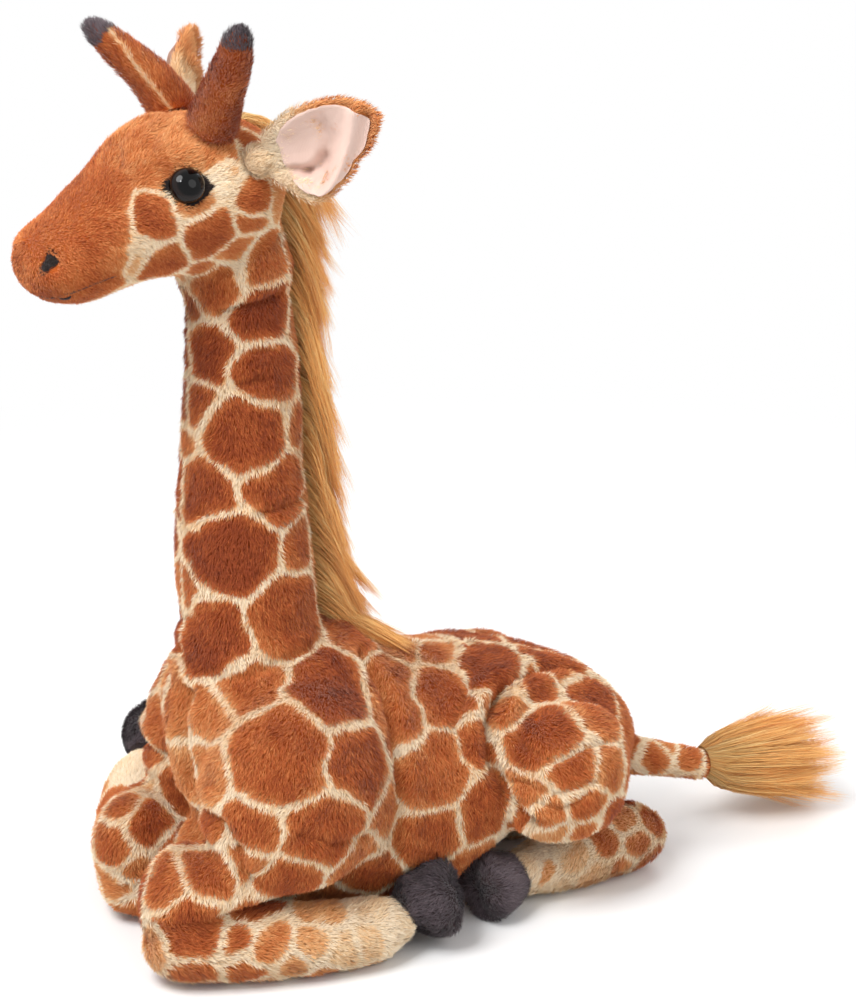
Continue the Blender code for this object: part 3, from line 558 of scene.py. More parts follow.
# Lower legs narrow to the ankle, and hooves are stumps with a broad sole
hooves = {name: np.array(middleOf(name)) for name in frame["nodes"] if "hoof" in name}
ankleStyle = {
    "fore": {"narrow": 0.84, "from": 34 * mm, "to": 12 * mm},
    "hind": {"narrow": 0.74, "from": 52 * mm, "to": 14 * mm},
    "soleFrom": 10 * mm,
    "soleDepth": 0.45,
    "soleSpread": 0.16,
    "seams": 5,
    "seamBreadth": 1.2 * mm,
    "seamDepth": 2.4 * mm,
}
legWays = {}
for sideName in sides:
    for end in ("fore", "hind"):
        name, hoofName = end + "leg_" + sideName, end + "_hoof_" + sideName
        joint = joints[("knee" if end == "fore" else "hock") + "_swing_" + sideName]
        hoof = hooves[hoofName]
        way = unit(hoof - np.array(joint["pos_m"]))
        legWays[name] = way
        style = ankleStyle[end]
        co = pointsOf(skins[name])
        along = (co - hoof) @ way
        middle = hoof + along[:, None] * way
        full = smoothStep(-along, style["to"], style["from"])
        narrow = style["narrow"] + (1 - style["narrow"]) * full
        setPoints(skins[name], middle + (co - middle) * narrow[:, None])
        sink(skins[name], formStyle["legSink"])
        co = pointsOf(skins[hoofName])
        along = (co - hoof) @ way
        radial = co - hoof - along[:, None] * way
        over = np.maximum(along - ankleStyle["soleFrom"], 0)
        along = along - over * (1 - ankleStyle["soleDepth"])
        radial *= (1 + ankleStyle["soleSpread"] * smoothStep(along, -8 * mm, 10 * mm))[:, None]
        # the sole's seams run out from its middle in a star
        upward = unit(np.cross(way, (1, 0, 0)))
        bearing = np.arctan2(radial @ np.cross(way, upward), radial @ upward)
        bearing = bearing / (2 * pi) * ankleStyle["seams"]
        offset = np.linalg.norm(radial, axis=1) * np.sin(pi * bearing) / ankleStyle["seams"]
        groove = np.exp(-(offset / ankleStyle["seamBreadth"]) ** 2) * smoothStep(along, 0, 8 * mm)
        along = along - groove * ankleStyle["seamDepth"]
        setPoints(skins[hoofName], hoof + along[:, None] * way + radial)
        sink(skins[hoofName], formStyle["smallSink"])
sink(skins["tail"], formStyle["smallSink"])


kneeCut = {
    "reach": 33.0 * mm,  # how far from the hinge's line the forearm is cut
    "above": 20 * mm,  # and how far up from the seam
    "short": 0.2,  # mm, by which each cut end stops short of the seam
    "rimReach": 60 * mm,
}


def cutAtSeam(mesh, sideName, keepAbove):
    # Cuts a skin square to the knee's hinge, so that the lower leg swings against the forearm
    axis, seam = kneeAxes[sideName], kneePlaces[sideName]
    outward = -axis if keepAbove else axis

    def inReach(vert):
        up = (vert.co - seam).dot(axis)
        return (vert.co - seam - axis * up).length < kneeCut["reach"] and up < kneeCut["above"]

    def cut(bm):
        chosen = [face for face in bm.faces if not keepAbove or all(inReach(v) for v in face.verts)]
        # each once, in an order that is the same in every run
        verts = dict.fromkeys(vert for face in chosen for vert in face.verts)
        edges = dict.fromkeys(edge for face in chosen for edge in face.edges)
        bmesh.ops.bisect_plane(bm, geom=[*verts, *edges, *chosen], dist=0.02 * mm,
                               plane_co=seam - outward * kneeCut["short"] * mm, plane_no=outward,
                               clear_outer=True)
        bmesh.ops.triangulate(bm, faces=bm.faces[:])

    rework(mesh, cut)
    mesh.shade_smooth()


def capSeam(mesh, sideName):
    # Closes the cut end with its own flat face
    axis, seam = kneeAxes[sideName], kneePlaces[sideName]

    def onSeam(vert):
        off = vert.co - seam
        return abs(off.dot(axis)) < 0.3 * mm and off.length < kneeCut["rimReach"]

    def cap(bm):
        rim = [edge for edge in bm.edges if edge.is_boundary and all(onSeam(v) for v in edge.verts)]
        for face in bmesh.ops.holes_fill(bm, edges=rim, sides=0)["faces"]:
            face.smooth = False

    rework(mesh, cap)


for sideName in sides:
    cutAtSeam(bodyMesh, sideName, True)
    cutAtSeam(skins["foreleg_" + sideName], sideName, False)
print("legs shaped")

# Horns lean and taper, as the photograph shows each of them
hornShape = {
    # how far the tip leans and the middle bows, in millimetres, and how pale the seam in front is
    "left": {"lean": (2.2, 4.6, 1.0), "bow": (0.6, 1.2, 0.0), "seam": 0.0},
    "right": {"lean": (-2.0, -4.2, 0.5), "bow": (2.6, 5.4, 0.0), "seam": 0.62},
    "seamAt": 1.5 * mm,
    "foot": 24 * mm,  # from the stem's middle down to its foot
    "end": 9 * mm,  # from the tip's middle to its end
    "waist": 0.96,  # the share of the radius left halfway, and at the very end
    "point": 0.84,
    "rise": 1.5 * mm,
}
hornAxes = {}
for sideName in sides:
    tip, root = (np.array(middleOf(part + sideName)) for part in ("horn_tip_", "horn_"))
    axis = unit(tip - root)
    low = root - axis * hornShape["foot"]
    reach = (tip - low) @ axis + hornShape["end"]
    mesh = skins["horn_" + sideName]
    co = pointsOf(mesh)
    along = (co - low) @ axis
    t = np.clip(along / reach, 0, 1)
    middle = low + along[:, None] * axis
    narrow = 1 - (1 - hornShape["waist"]) * smoothStep(t, 0.25, 0.6)
    narrow -= (hornShape["waist"] - hornShape["point"]) * smoothStep(t, 0.62, 0.98)
    co = middle + (co - middle) * narrow[:, None]
    co += np.array(hornShape[sideName]["lean"]) * mm * smoothStep(t, 0.2, 1.1)[:, None]
    co += np.array(hornShape[sideName]["bow"]) * mm * np.sin(pi * t)[:, None]
    co += axis * (hornShape["rise"] * smoothStep(t, 0.75, 1.0))[:, None]
    setPoints(mesh, co)
    sink(mesh, formStyle["smallSink"])
    hornAxes[sideName] = (low, axis, reach)
surfaces = {name: surfaceOf(mesh) for name, mesh in skins.items()}
print("horns shaped")

# The printed patches. Each is where the photograph shows its middle, in that picture's pixels,
# with its radius there, its depth of dye and, where a patch has several middles, the name that
# they share
photoPatches = {
    "neck": (
        (209, 350, 30, 0.86), (215, 287, 26, 0.72), (262, 313, 30, 0.90), (194, 302, 10, 0.70),
        (268, 368, 33, 0.86), (203, 403, 20, 0.80), (243, 430, 40, 0.84), (296, 420, 13, 0.70),
        (190, 447, 9, 0.70), (204, 488, 34, 0.82), (275, 487, 30, 0.76), (232, 548, 42, 0.90),
        (296, 543, 16, 0.70), (190, 596, 14, 0.70), (214, 633, 37, 0.86),
        (289, 612, 41, 0.74), (351, 632, 30, 0.66),
    ),
    "trunk": (
        (331, 690, 36, 0.92), (248, 686, 27, 0.74), (385, 680, 30, 0.68, "flank"),
        (402, 722, 26, 0.70, "flank"), (443, 697, 29, 0.82), (215, 712, 20, 0.62),
        (278, 757, 47, 0.78), (211, 771, 29, 0.58), (358, 762, 35, 0.84), (327, 829, 38, 0.82),
        (253, 822, 24, 0.80),
        (212, 818, 14, 0.80), (294, 880, 32, 0.84), (367, 872, 24, 0.84), (384, 812, 14, 0.66),
        (433, 767, 38, 0.74), (430, 829, 28, 0.80), (487, 803, 30, 0.82), (476, 742, 19, 0.84),
        (247, 858, 10, 0.70), (165, 725, 22, 0.74), (180, 788, 20, 0.82),
        (488, 666, 34, 0.92), (432, 650, 12, 0.66), (553, 663, 26, 0.88), (527, 685, 17, 0.84),
        (507, 708, 18, 0.70), (543, 733, 37, 0.82), (591, 711, 28, 0.74), (566, 765, 27, 0.80),
        (609, 768, 17, 0.64), (530, 787, 19, 0.66), (547, 806, 15, 0.72), (583, 800, 16, 0.76),
        (517, 805, 13, 0.84), (212, 869, 20, 0.78), (265, 907, 12, 0.80),
    ),
    "legs": (
        (613, 810, 17, 0.92), (653, 820, 14, 0.72), (638, 840, 13, 0.72),
        (608, 836, 14, 0.76), (580, 831, 12, 0.74), (554, 832, 11, 0.50), (575, 856, 13, 0.30),
        (548, 870, 10, 0.50), (622, 864, 10, 0.60), (530, 843, 14, 0.10),
        (166, 888, 19, 0.76), (190, 926, 32, 0.84), (230, 935, 14, 0.86),
        (153, 942, 13, 0.40), (192, 973, 17, 0.80), (241, 970, 14, 0.78),
        (266, 942, 14, 0.62), (310, 943, 12, 0.40), (340, 950, 14, 0.22), (365, 940, 14, 0.24),
        (290, 968, 12, 0.50), (400, 930, 20, 0.05),
        (153, 823, 21, 0.88), (122, 806, 13, 0.72), (113, 841, 21, 0.78),
        (115, 885, 13, 0.60), (138, 866, 12, 0.62), (172, 838, 12, 0.85),
        (135, 775, 15, 0.04), (152, 786, 8, 0.30),
    ),
    "head": (
        (40, 250, 20, 0.70, "face"), (70, 215, 26, 0.72, "face"), (60, 280, 18, 0.74, "face"),
        (90, 250, 22, 0.74, "face"), (105, 195, 26, 0.74, "face"), (130, 150, 28, 0.58, "face"),
        (165, 135, 24, 0.52, "face"), (150, 178, 18, 0.66, "face"), (205, 135, 18, 0.60, "face"),
        (92, 283, 15, 0.76, "face"), (185, 155, 14, 0.54, "face"), (20, 255, 14, 0.66, "face"),
        (118, 229, 15, 0.82, "face"), (112, 258, 13, 0.66, "face"), (110, 276, 11, 0.78, "face"),
        (172, 199, 10, 0.68, "face"), (212, 158, 10, 0.62, "face"), (196, 208, 8, 0.62, "face"),
        (62, 297, 10, 0.76, "face"), (85, 294, 10, 0.76, "face"), (104, 287, 9, 0.76, "face"),
        (150, 215, 22, 0.88), (207, 233, 22, 0.86), (158, 262, 19, 0.82),
        (198, 269, 14, 0.78), (132, 262, 9, 0.46), (250, 195, 19, 0.84), (247, 216, 12, 0.80),
        (234, 251, 13, 0.70), (257, 262, 17, 0.74), (228, 278, 12, 0.70), (246, 154, 16, 0.78),
        (221, 180, 7, 0.00), (141, 240, 4, 0.06), (236, 157, 10, 0.70, "face"), (236, 178, 7, 0.40),
    ),
}
patchStyle = {
    "line": 1.7 * mm,  # half the cream line's breadth
    "softness": 0.7 * mm,
    "rounding": 1.2 * mm,
    "rim": 7.0 * mm,  # over which a patch deepens inward
    "wobble": 1.3 * mm,
    # painted shade: the neck's patches are dyed darker, as the neck lies in more shadow
    "paintedShadeByRegion": {"neck": 1.10},
}
patchMiddles, patchRadii, patchDyes, patchNames = [], [], [], []


def addPatch(place, radius, depth, name=None):
    patchMiddles.append(np.array(place))
    patchRadii.append(radius)
    patchDyes.append(depth)
    patchNames.append(name or "patch " + str(len(patchNames)))


def clearOfPatches(place, radius, share):
    gaps = np.linalg.norm(np.array(patchMiddles) - place, axis=1) - share * np.array(patchRadii)
    return gaps.min() > share * radius


legNames = [end + "leg_" + sideName for end in ("fore", "hind") for sideName in sides]
hideNames = ["body", "tail", *legNames]
mirrored = []
for region, patches in photoPatches.items():
    for x, y, radius, depth, *name in patches:
        place = throughPhoto(x, y, hideNames if region == "legs" else ["body"])
        if place is None:
            print("patch off the hide:", region, x, y)
            continue
        # darker patches on the neck, painted shade
        depth *= patchStyle["paintedShadeByRegion"].get(region, 1.0)
        addPatch(place, radius * pixelSize, depth, *name)
        if region != "legs":
            mirror = mirrorInHead if region == "head" else mirrorInBody
            mirrored.append((mirror(place), radius * pixelSize, depth, *name))
for place, radius, depth, *name in mirrored:
    if clearOfPatches(np.array(place), radius, 0.75):
        addPatch(place, radius, depth, *name)

# Where neither the picture nor its mirror image has a patch, others fill the hide evenly
fillStyle = {
    # the radius of such a patch
    "neck": 14.5 * mm,
    "trunk": 17.5 * mm,
    "tail": 8.5 * mm,
    "legs": 10.5 * mm,
    "apart": 0.95,
    "enough": 0.80,  # the share of its radius that a patch needs to find room
    "bare": 26 * mm,  # from the hoof, where the leg is cream
    "dyed": 85 * mm,
}


def fillSize(name, co):
    if name == "body":
        onNeck = (co[:, 2] > 0.17) & (co[:, 1] < -0.03)
        return np.where(onNeck, fillStyle["neck"], fillStyle["trunk"])
    return np.full(len(co), fillStyle["tail" if name == "tail" else "legs"])


for name in hideNames:
    co = pointsOf(skins[name])[::3]
    size = fillSize(name, co)
    room = np.full(len(co), 1.0)
    for middle, radius in zip(patchMiddles, patchRadii):
        room = np.minimum(room, np.linalg.norm(co - middle, axis=1) - radius)
    while True:
        at = np.argmax(room / size)
        if room[at] < size[at] * fillStyle["enough"]:
            break
        depth = 0.70 + 0.18 * sin(len(patchNames) * 2.4)
        if "leg_" in name:
            away = np.linalg.norm(co[at] - hooves[name.replace("leg", "_hoof")])
            depth *= float(smoothStep(away, fillStyle["bare"], fillStyle["dyed"])) * 0.9 + 0.1
        radius = size[at] * fillStyle["apart"]
        addPatch(co[at], radius, depth)
        room = np.minimum(room, np.linalg.norm(co - co[at], axis=1) - radius)
print("patches laid out:", len(patchNames))

middles = np.array(patchMiddles)
radiiSquared = np.array(patchRadii) ** 2
dyes = np.array(patchDyes)
families = np.unique(patchNames, return_inverse=True)[1]
between = np.maximum(np.linalg.norm(middles[:, None] - middles[None], axis=2), 1e-6)


def hideTone(points):
    # 0 on the cream network, up to the patch's own depth of dye inside its rim
    tones = np.empty(len(points))
    for start in range(0, len(points), 20000):
        p = points[start:start + 20000]
        q = p + np.stack([ripple(p, 11 * mm, seed) for seed in (3, 4, 5)], 1) * patchStyle["wobble"]
        power = (q ** 2).sum(1)[:, None] - 2 * q @ middles.T + (middles ** 2).sum(1) - radiiSquared
        own = power.argmin(1)
        rows = np.arange(len(p))
        gap = (power - power[rows, own][:, None]) / (2 * between[own])
        gap[families[own][:, None] == families[None]] = 1.0
        k = patchStyle["rounding"]
        nearest = gap.min(1)
        edge = nearest - k * np.log(np.exp(-(gap - nearest[:, None]) / k).sum(1))
        # the cream lines are finer on the head
        finer = 1 - 0.35 * smoothStep(p[:, 2], 0.33, 0.36)
        line = patchStyle["line"] * (1 + 0.30 * ripple(p, 16 * mm, 6)) * finer
        inside = smoothStep(edge, line - patchStyle["softness"], line + patchStyle["softness"])
        deep = smoothStep(edge - line, 0, patchStyle["rim"])
        full = dyes[own] * (0.82 + 0.18 * deep) + 0.05 * ripple(p, 7 * mm, 7)
        cream = 0.06 + 0.05 * ripple(p, 20 * mm, 8)
        tones[start:start + 20000] = cream + (full - cream) * inside
    return np.clip(tones, 0.0, 1.0)


# Pile: short fibres, each a bent leaf of two faces from its root to its point
pileStyle = {
    "mostInPiece": 95000,
    "reach": 6 * mm,  # how far a neighbour presses the pile down
    "deepest": 60 * mm,  # that a root lies inside another skin
    "swirl": 0.40,  # radians that the pile turns aside in drifts, and fibre by fibre
    "scatter": 0.30,
    "twist": 0.35,
    "underSkin": 0.3,  # mm, that a root goes in
    "floor": 0.3 * mm,
    "dyeBreadth": 0.012,
}


def space(root, normal, names):
    # How far each root is from what lies over it, and whether another skin covers it
    far = np.full(len(root), pileStyle["reach"])
    covered = np.zeros(len(root), bool)
    for name in names:
        tree = surfaces[name]
        corners = pointsOf(skins[name])
        low, high = corners.min(0) - pileStyle["reach"], corners.max(0) + pileStyle["reach"]
        for k in np.flatnonzero(((root > low) & (root < high)).all(1)):
            ray = Vector(normal[k])
            place, facing, index, away = tree.ray_cast(Vector(root[k]) + ray * 0.1 * mm, ray,
                                                       pileStyle["deepest"])
            if place is None:
                continue
            if facing.dot(ray) > 0:  # it leaves that skin, so the root is inside it
                covered[k] = True
            elif away < far[k]:
                far[k] = away
    return far, covered


def fibreMesh(name, verts, loops, starts, places):
    mesh = bpy.data.meshes.new(name)
    mesh.vertices.add(len(verts))
    mesh.vertices.foreach_set("co", verts.astype(np.float32).ravel())
    mesh.loops.add(len(loops))
    mesh.loops.foreach_set("vertex_index", loops.astype(np.int32))
    mesh.polygons.add(len(starts))
    mesh.polygons.foreach_set("loop_start", starts.astype(np.int32))
    mesh.update(calc_edges=True)
    chart = mesh.uv_layers.new(name="OFBake")
    chart.data.foreach_set("uv", np.clip(places, 0.0, 1.0).astype(np.float32).ravel())
    mesh.shade_smooth()
    return addObject(name, mesh)


neckBends = {
    "lower": ("body", "neck", (0, -0.089, 0.140), (0, -0.089, 0.200)),
    "upper": ("neck", "head", tuple(headEdge - headward * 0.026),
              tuple(headEdge + headward * 0.002)),
}


def finishPiece(obj, riding):
    if riding in neckBends:
        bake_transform(obj)
    else:
        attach(obj, riding)


def growPile(name, root, normal, flow, tones, style, riding, material, far=None):
    rng = np.random.default_rng(style["seed"])
    count = len(root)
    far = np.full(count, pileStyle["reach"]) if far is None else far
    tangent = unit(flow - normal * (flow * normal).sum(1, keepdims=True) + 1e-6)
    side = np.cross(normal, tangent)
    turn = pileStyle["swirl"] * ripple(root, 9 * mm, style["seed"] + 1)
    turn = turn + rng.normal(0, pileStyle["scatter"], count)
    lean = np.cos(turn)[:, None] * tangent + np.sin(turn)[:, None] * side
    across = np.cross(normal, lean)
    length = style["length"] * rng.uniform(0.70, 1.15, count) * style.get("trim", 1.0)
    up = style["rise"] + 0.10 * ripple(root, 5 * mm, style["seed"] + 2) + rng.normal(0, 0.09, count)
    up = np.clip(up, 0.12, 0.95)
    up = np.minimum(up, np.maximum(far * 0.6, 0.1 * mm) / length)
    out = np.sqrt(1 - up ** 2)
    twist = rng.normal(0, pileStyle["twist"], count)
    broad = np.cos(twist)[:, None] * across + np.sin(twist)[:, None] * normal
    half = style["width"] / 2 * rng.uniform(0.7, 1.3, count)[:, None]
    base = root - normal * pileStyle["underSkin"] * mm
    middle = root + length[:, None] * (normal * (up * 0.66)[:, None] + lean * (out * 0.42)[:, None])
    tip = root + length[:, None] * (normal * up[:, None] + lean * out[:, None])
    verts = np.stack([base, middle - broad * half, middle + broad * half, tip], 1)
    verts[..., 2] = np.maximum(verts[..., 2], pileStyle["floor"])
    dyeAt = np.clip(tones + rng.normal(0, style["mottle"], count), 0.02, 0.98)
    left, right = dyeAt - pileStyle["dyeBreadth"], dyeAt + pileStyle["dyeBreadth"]
    # up the map from root to point, which the pile's material darkens toward the root as painted
    # shade
    start = rng.uniform(0.0, 0.12, count)
    bend, end = start + 0.45, start + 0.88
    u = np.stack([dyeAt, right, left, left, right, dyeAt], 1)
    v = np.stack([start, bend, bend, bend, bend, end], 1)
    chart = np.stack([u, v], 2)
    order = np.argsort(root[:, 1] + root[:, 2] * 0.3, kind="stable")
    parts = np.array_split(order, max(1, -(-count // pileStyle["mostInPiece"])))
    for number, chosen in enumerate(parts):
        loops = (np.arange(len(chosen))[:, None] * 4 + np.array((0, 2, 1, 1, 2, 3))[None]).ravel()
        label = name if len(parts) == 1 else name + "_" + str(number + 1)
        starts = np.arange(2 * len(chosen)) * 3
        corners, places = verts[chosen].reshape(-1, 3), chart[chosen].reshape(-1, 2)
        obj = fibreMesh(label, corners, loops, starts, places)
        obj.data.materials.append(material)
        finishPiece(obj, riding)
    print(name, count, "fibres")


def scatter(mesh, density, seed):
    # Roots spread evenly over a mesh by its area, with the smooth normal of each
    rng = np.random.default_rng(seed)
    co, nm, tris = pointsOf(mesh), normalsOf(mesh), trianglesOf(mesh)
    a, b, c = (co[tris[:, k]] for k in range(3))
    areas = np.linalg.norm(np.cross(b - a, c - a), axis=1) / 2
    rate = areas * (density(tris, co) if callable(density) else density) / mm ** 2
    pick = rng.choice(len(tris), size=int(rate.sum()), p=rate / rate.sum())
    u, v = rng.random(len(pick)), rng.random(len(pick))
    swap = u + v > 1
    u[swap], v[swap] = 1 - u[swap], 1 - v[swap]
    shares = np.stack([1 - u - v, u, v], 1)[:, :, None]
    corners = tris[pick]
    place, facing = (co[corners] * shares).sum(1), unit((nm[corners] * shares).sum(1))
    keep = ~((place[:, 2] < 2.8 * mm) & (facing[:, 2] < -0.85))
    return place[keep], facing[keep]


def partOfMesh(name, mesh, chosen):
    tris = trianglesOf(mesh)[chosen]
    used, index = np.unique(tris, return_inverse=True)
    part = bpy.data.meshes.new(name)
    part.from_pydata(pointsOf(mesh)[used].tolist(), [], index.reshape(-1, 3).tolist())
    part.shade_smooth()
    return part


def addTones(mesh, tones):
    mesh.attributes.new("tone", "FLOAT", "POINT").data.foreach_set("value", tones)


def regionOf(co):
    # 0 on the body, 1 and 2 on the lower and upper neck, 3 on the head
    up = (co - np.array(headEdge)) @ np.array(headward)
    aside = np.hypot(co[:, 0], co[:, 1] - seamStyle["neckMiddle"])
    onNeck = (co[:, 2] > seamStyle["neckAbove"]) & (aside < seamStyle["neckReach"])
    region = np.where(onNeck, np.where(co[:, 2] < seamStyle["neckHalf"], 1, 2), 0)
    return np.where((co[:, 2] > 0.30) & (up > 0), 3, region)


# Eyes: the dome on its felt, in the frame that the washer and the dome give
eyeStyle = {
    "radius": 8.2 * mm,
    "height": 6.0 * mm,
    "inward": 5.0 * mm,  # from the CAD dome's top down to the foot of this one
    "sides": 64,
    "rings": 16,
    "feltLength": 13.0 * mm,  # from the middle to a corner
    "feltHeight": 9.8 * mm,
    "feltSlant": radians(-6),
    "feltSides": 72,
    "feltRings": 9,
    "feltLift": 0.9 * mm,
    "napDensity": 7.0,
    "nap": {"seed": 73, "length": 1.8 * mm, "rise": 0.45, "width": 0.30 * mm, "mottle": 0.05},
}


def eyeFrame(sideName):
    points = [v.co for v in frame["nodes"]["eye_" + sideName].data.vertices]
    washer = middleOf("eye_washer_" + sideName)
    reach = max((p - washer).length for p in points)
    far = [p for p in points if (p - washer).length > reach - 1.5 * mm]
    z = (sum(far, Vector()) / len(far) - washer).normalized()
    x = Vector((0, 0, 1)).cross(z).normalized()
    place = standing(x, z)
    apex = max((p - washer).dot(z) for p in points)
    place.translation = washer + z * (apex - eyeStyle["inward"])
    return place


def eyeGlass(name):
    # Black in the middle, and a dark brown ring toward the rim
    sockets = {"Roughness": 0.05, "IOR": 1.45, "Specular IOR Level": 0.24}
    material, thread, shader = newMaterial(name, sockets)
    distance = thread.node("Attribute", {"attribute_name": "tone"}, out=2)
    stops = ((0.0, dye(3, 3, 4)), (0.66, dye(5, 4, 5)), (0.80, dye(30, 22, 20)), (1.0, dye(14, 9, 8)))
    colour = thread.node("ValToRGB", {"stops": stops}, {0: distance})
    thread.feed(shader.inputs["Base Color"], colour)
    return material


def threadFinish(name, colour, roughness, scale):
    material, thread, shader = newMaterial(name, {"Roughness": roughness})
    place = thread.node("TexCoord", out=3)
    grain = thread.node("TexNoise", inputs={"Vector": place, "Scale": scale, "Detail": 3.0})
    bump = thread.node("Bump", inputs={"Height": grain, "Strength": 0.5, "Distance": 0.3 * mm})
    light = tuple(min(c * 2.2 + 0.004, 1.0) for c in colour)
    thread.feed(shader.inputs["Base Color"], thread.tint((*colour, 1), (*light, 1), grain))
    thread.feed(shader.inputs["Normal"], bump)
    return material


eyeFrames = {sideName: eyeFrame(sideName) for sideName in sides}
glass = eyeGlass("black_glass_eye")
feltFinish = threadFinish("black_felt_cloth", dye(22, 17, 16), 0.95, 1500.0)
stitchFinish = threadFinish("nose_stitch_thread", dye(40, 32, 31), 0.7, 2200.0)
nylonFinish = threadFinish("white_nylon_moulding", dye(226, 224, 216), 0.4, 300.0)


def ringMesh(name, rows):
    # Rings of points, one inside the other, joined by faces and closed in the middle
    bm = bmesh.new()
    rings = [[bm.verts.new(point) for point in row] for row in rows]
    for near, far in zip(rings, rings[1:]):
        for k in range(len(near)):
            j = (k + 1) % len(near)
            bm.faces.new((near[k], near[j], far[j], far[k]))
    bm.faces.new(rings[-1])
    mesh = bpy.data.meshes.new(name)
    bm.to_mesh(mesh)
    bm.free()
    mesh.shade_smooth()
    return mesh


def headPiece(name, mesh, material, replaced):
    mesh.materials.append(material)
    obj = addObject(name, mesh)
    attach(obj, "head")
    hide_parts(replaced)


def eyeDome(sideName):
    place = eyeFrames[sideName]
    radius, height = eyeStyle["radius"], eyeStyle["height"]
    count, rings = eyeStyle["sides"], eyeStyle["rings"]
    profile = [(radius * 0.90, -4 * mm), (radius, -2.0 * mm), (radius, 0)]
    for k in range(1, rings):
        profile.append((radius * cos(pi / 2 * k / rings), height * sin(pi / 2 * k / rings)))
    turns = [2 * pi * k / count for k in range(count)]
    rows = [[place @ Vector((r * cos(a), r * sin(a), h)) for a in turns] for r, h in profile]
    mesh = ringMesh("eye_dome", rows)
    addTones(mesh, np.repeat([r / radius for r, h in profile], count))
    headPiece("eye_dome_" + sideName, mesh, glass, "eye_" + sideName)


def inEye(sideName, points):
    # Places round an eye, turned with its felt, as shares of the felt's length and height
    place = eyeFrames[sideName]
    local = (points - np.array(place.translation)) @ np.array(place.to_3x3())
    slant = eyeStyle["feltSlant"] * sides[sideName]
    x = local[:, 0] * cos(slant) + local[:, 1] * sin(slant)
    y = local[:, 1] * cos(slant) - local[:, 0] * sin(slant)
    return x / eyeStyle["feltLength"], y / eyeStyle["feltHeight"], local[:, 2]


def feltEdge(x):
    # Half the felt's height at a place along it: an almond with drawn-out corners
    return np.clip(1 - np.abs(x) ** 1.6, 0, 1) ** 1.15


def eyeFelt(sideName):
    # A cut leaf of felt that follows the head under the dome, with a soft nap at its edge
    place = eyeFrames[sideName]
    aside, upward, outward = (place.col[axis].to_3d() for axis in range(3))
    slant = eyeStyle["feltSlant"] * sides[sideName]
    length, height = eyeStyle["feltLength"], eyeStyle["feltHeight"]
    rows = []
    for ring in range(eyeStyle["feltRings"] + 1):
        rim = 1 - ring / eyeStyle["feltRings"]  # 1 at the edge, 0 under the dome
        share = 0.30 + 0.70 * rim
        row = []
        for k in range(eyeStyle["feltSides"]):
            a = 2 * pi * k / eyeStyle["feltSides"]
            x = cos(a) * length * share
            y = float(feltEdge(cos(a))) * (1 if sin(a) >= 0 else -1) * height * share
            turned = (x * cos(slant) - y * sin(slant), x * sin(slant) + y * cos(slant), 30 * mm)
            spot = surfaces["body"].ray_cast(place @ Vector(turned), -outward, 60 * mm)[0]
            row.append(spot + outward * eyeStyle["feltLift"] * (1 - rim ** 6))
        rows.append(row)
    mesh = ringMesh("felt", rows)
    root, normal = scatter(mesh, eyeStyle["napDensity"], 71)
    headPiece("eye_felt_cloth_" + sideName, mesh, feltFinish, "eye_felt_" + sideName)
    x, y, z = inEye(sideName, root)
    flow = np.outer(x, np.array(aside)) + np.outer(y * 0.6, np.array(upward))
    outer = np.hypot(x * 1.7, y) > 0.84
    growPile("eye_felt_nap_" + sideName, root[outer], normal[outer], flow[outer],
             np.full(outer.sum(), 0.6), eyeStyle["nap"], "head", nightPile)


for sideName in sides:
    eyeDome(sideName)
    eyeFelt(sideName)
print("eyes set")

# Nostrils and mouth: satin-stitched pads and a drawn-in seam
noseStyle = {
    "outline": ((37, 276), (44, 262), (48, 249), (57, 253), (60, 262), (52, 268), (45, 274)),
    "mouth": ((116, 275), (100, 281), (85, 287), (72, 292), (60, 297)),
    "mouthFront": ((95, 14, -8.6), (101, 9, -9.6), (104, 4, -10.2), (105, 0, -10.4)),
    "seam": 0.55 * mm,
    "padRings": 6,
    "padRise": 0.9 * mm,
    "padSink": 0.3 * mm,
    "napDensity": 9.0,
    "nap": {"seed": 83, "length": 1.6 * mm, "rise": 0.5, "width": 0.32 * mm, "mottle": 0.1},
}
outline = onHide(noseStyle["outline"])
nostrils = {"left": outline, "right": [mirrorInHead(place) for place in outline]}


def nostrilPad(sideName):
    tree = surfaces["body"]
    edge = nostrils[sideName]
    middle = sum(edge, Vector()) / len(edge)
    rings = noseStyle["padRings"]
    loop = [a.lerp(b, k / rings) for a, b in zip(edge, edge[1:] + edge[:1]) for k in range(rings)]
    rows = []
    for ring in range(rings):
        share = 1 - ring / rings
        near = [tree.find_nearest(middle.lerp(point, share))[:2] for point in loop]
        rise = noseStyle["padRise"] * (1 - share ** 3) - noseStyle["padSink"]
        rows.append([spot + facing * rise for spot, facing in near])
    mesh = ringMesh("nostril", rows)
    if normalsOf(mesh).mean(0) @ np.array(tree.find_nearest(middle)[1]) < 0:
        mesh.flip_normals()
    root, normal = scatter(mesh, noseStyle["napDensity"], 81)
    padName = "nostril_pad_" + sideName
    headPiece(padName, mesh, stitchFinish, "nostril_" + sideName)
    flow = np.tile(np.array(-headFront) + (0, 0, 0.5), (len(root), 1))
    growPile("nostril_nap_" + sideName, root, normal, flow, np.full(len(root), 0.5),
             noseStyle["nap"], "head", nightPile)


for sideName in sides:
    nostrilPad(sideName)


def fromHead(forward, aside, up):
    return headFoot + (headFront * forward + headLeft * aside + Vector((0, 0, up))) * mm


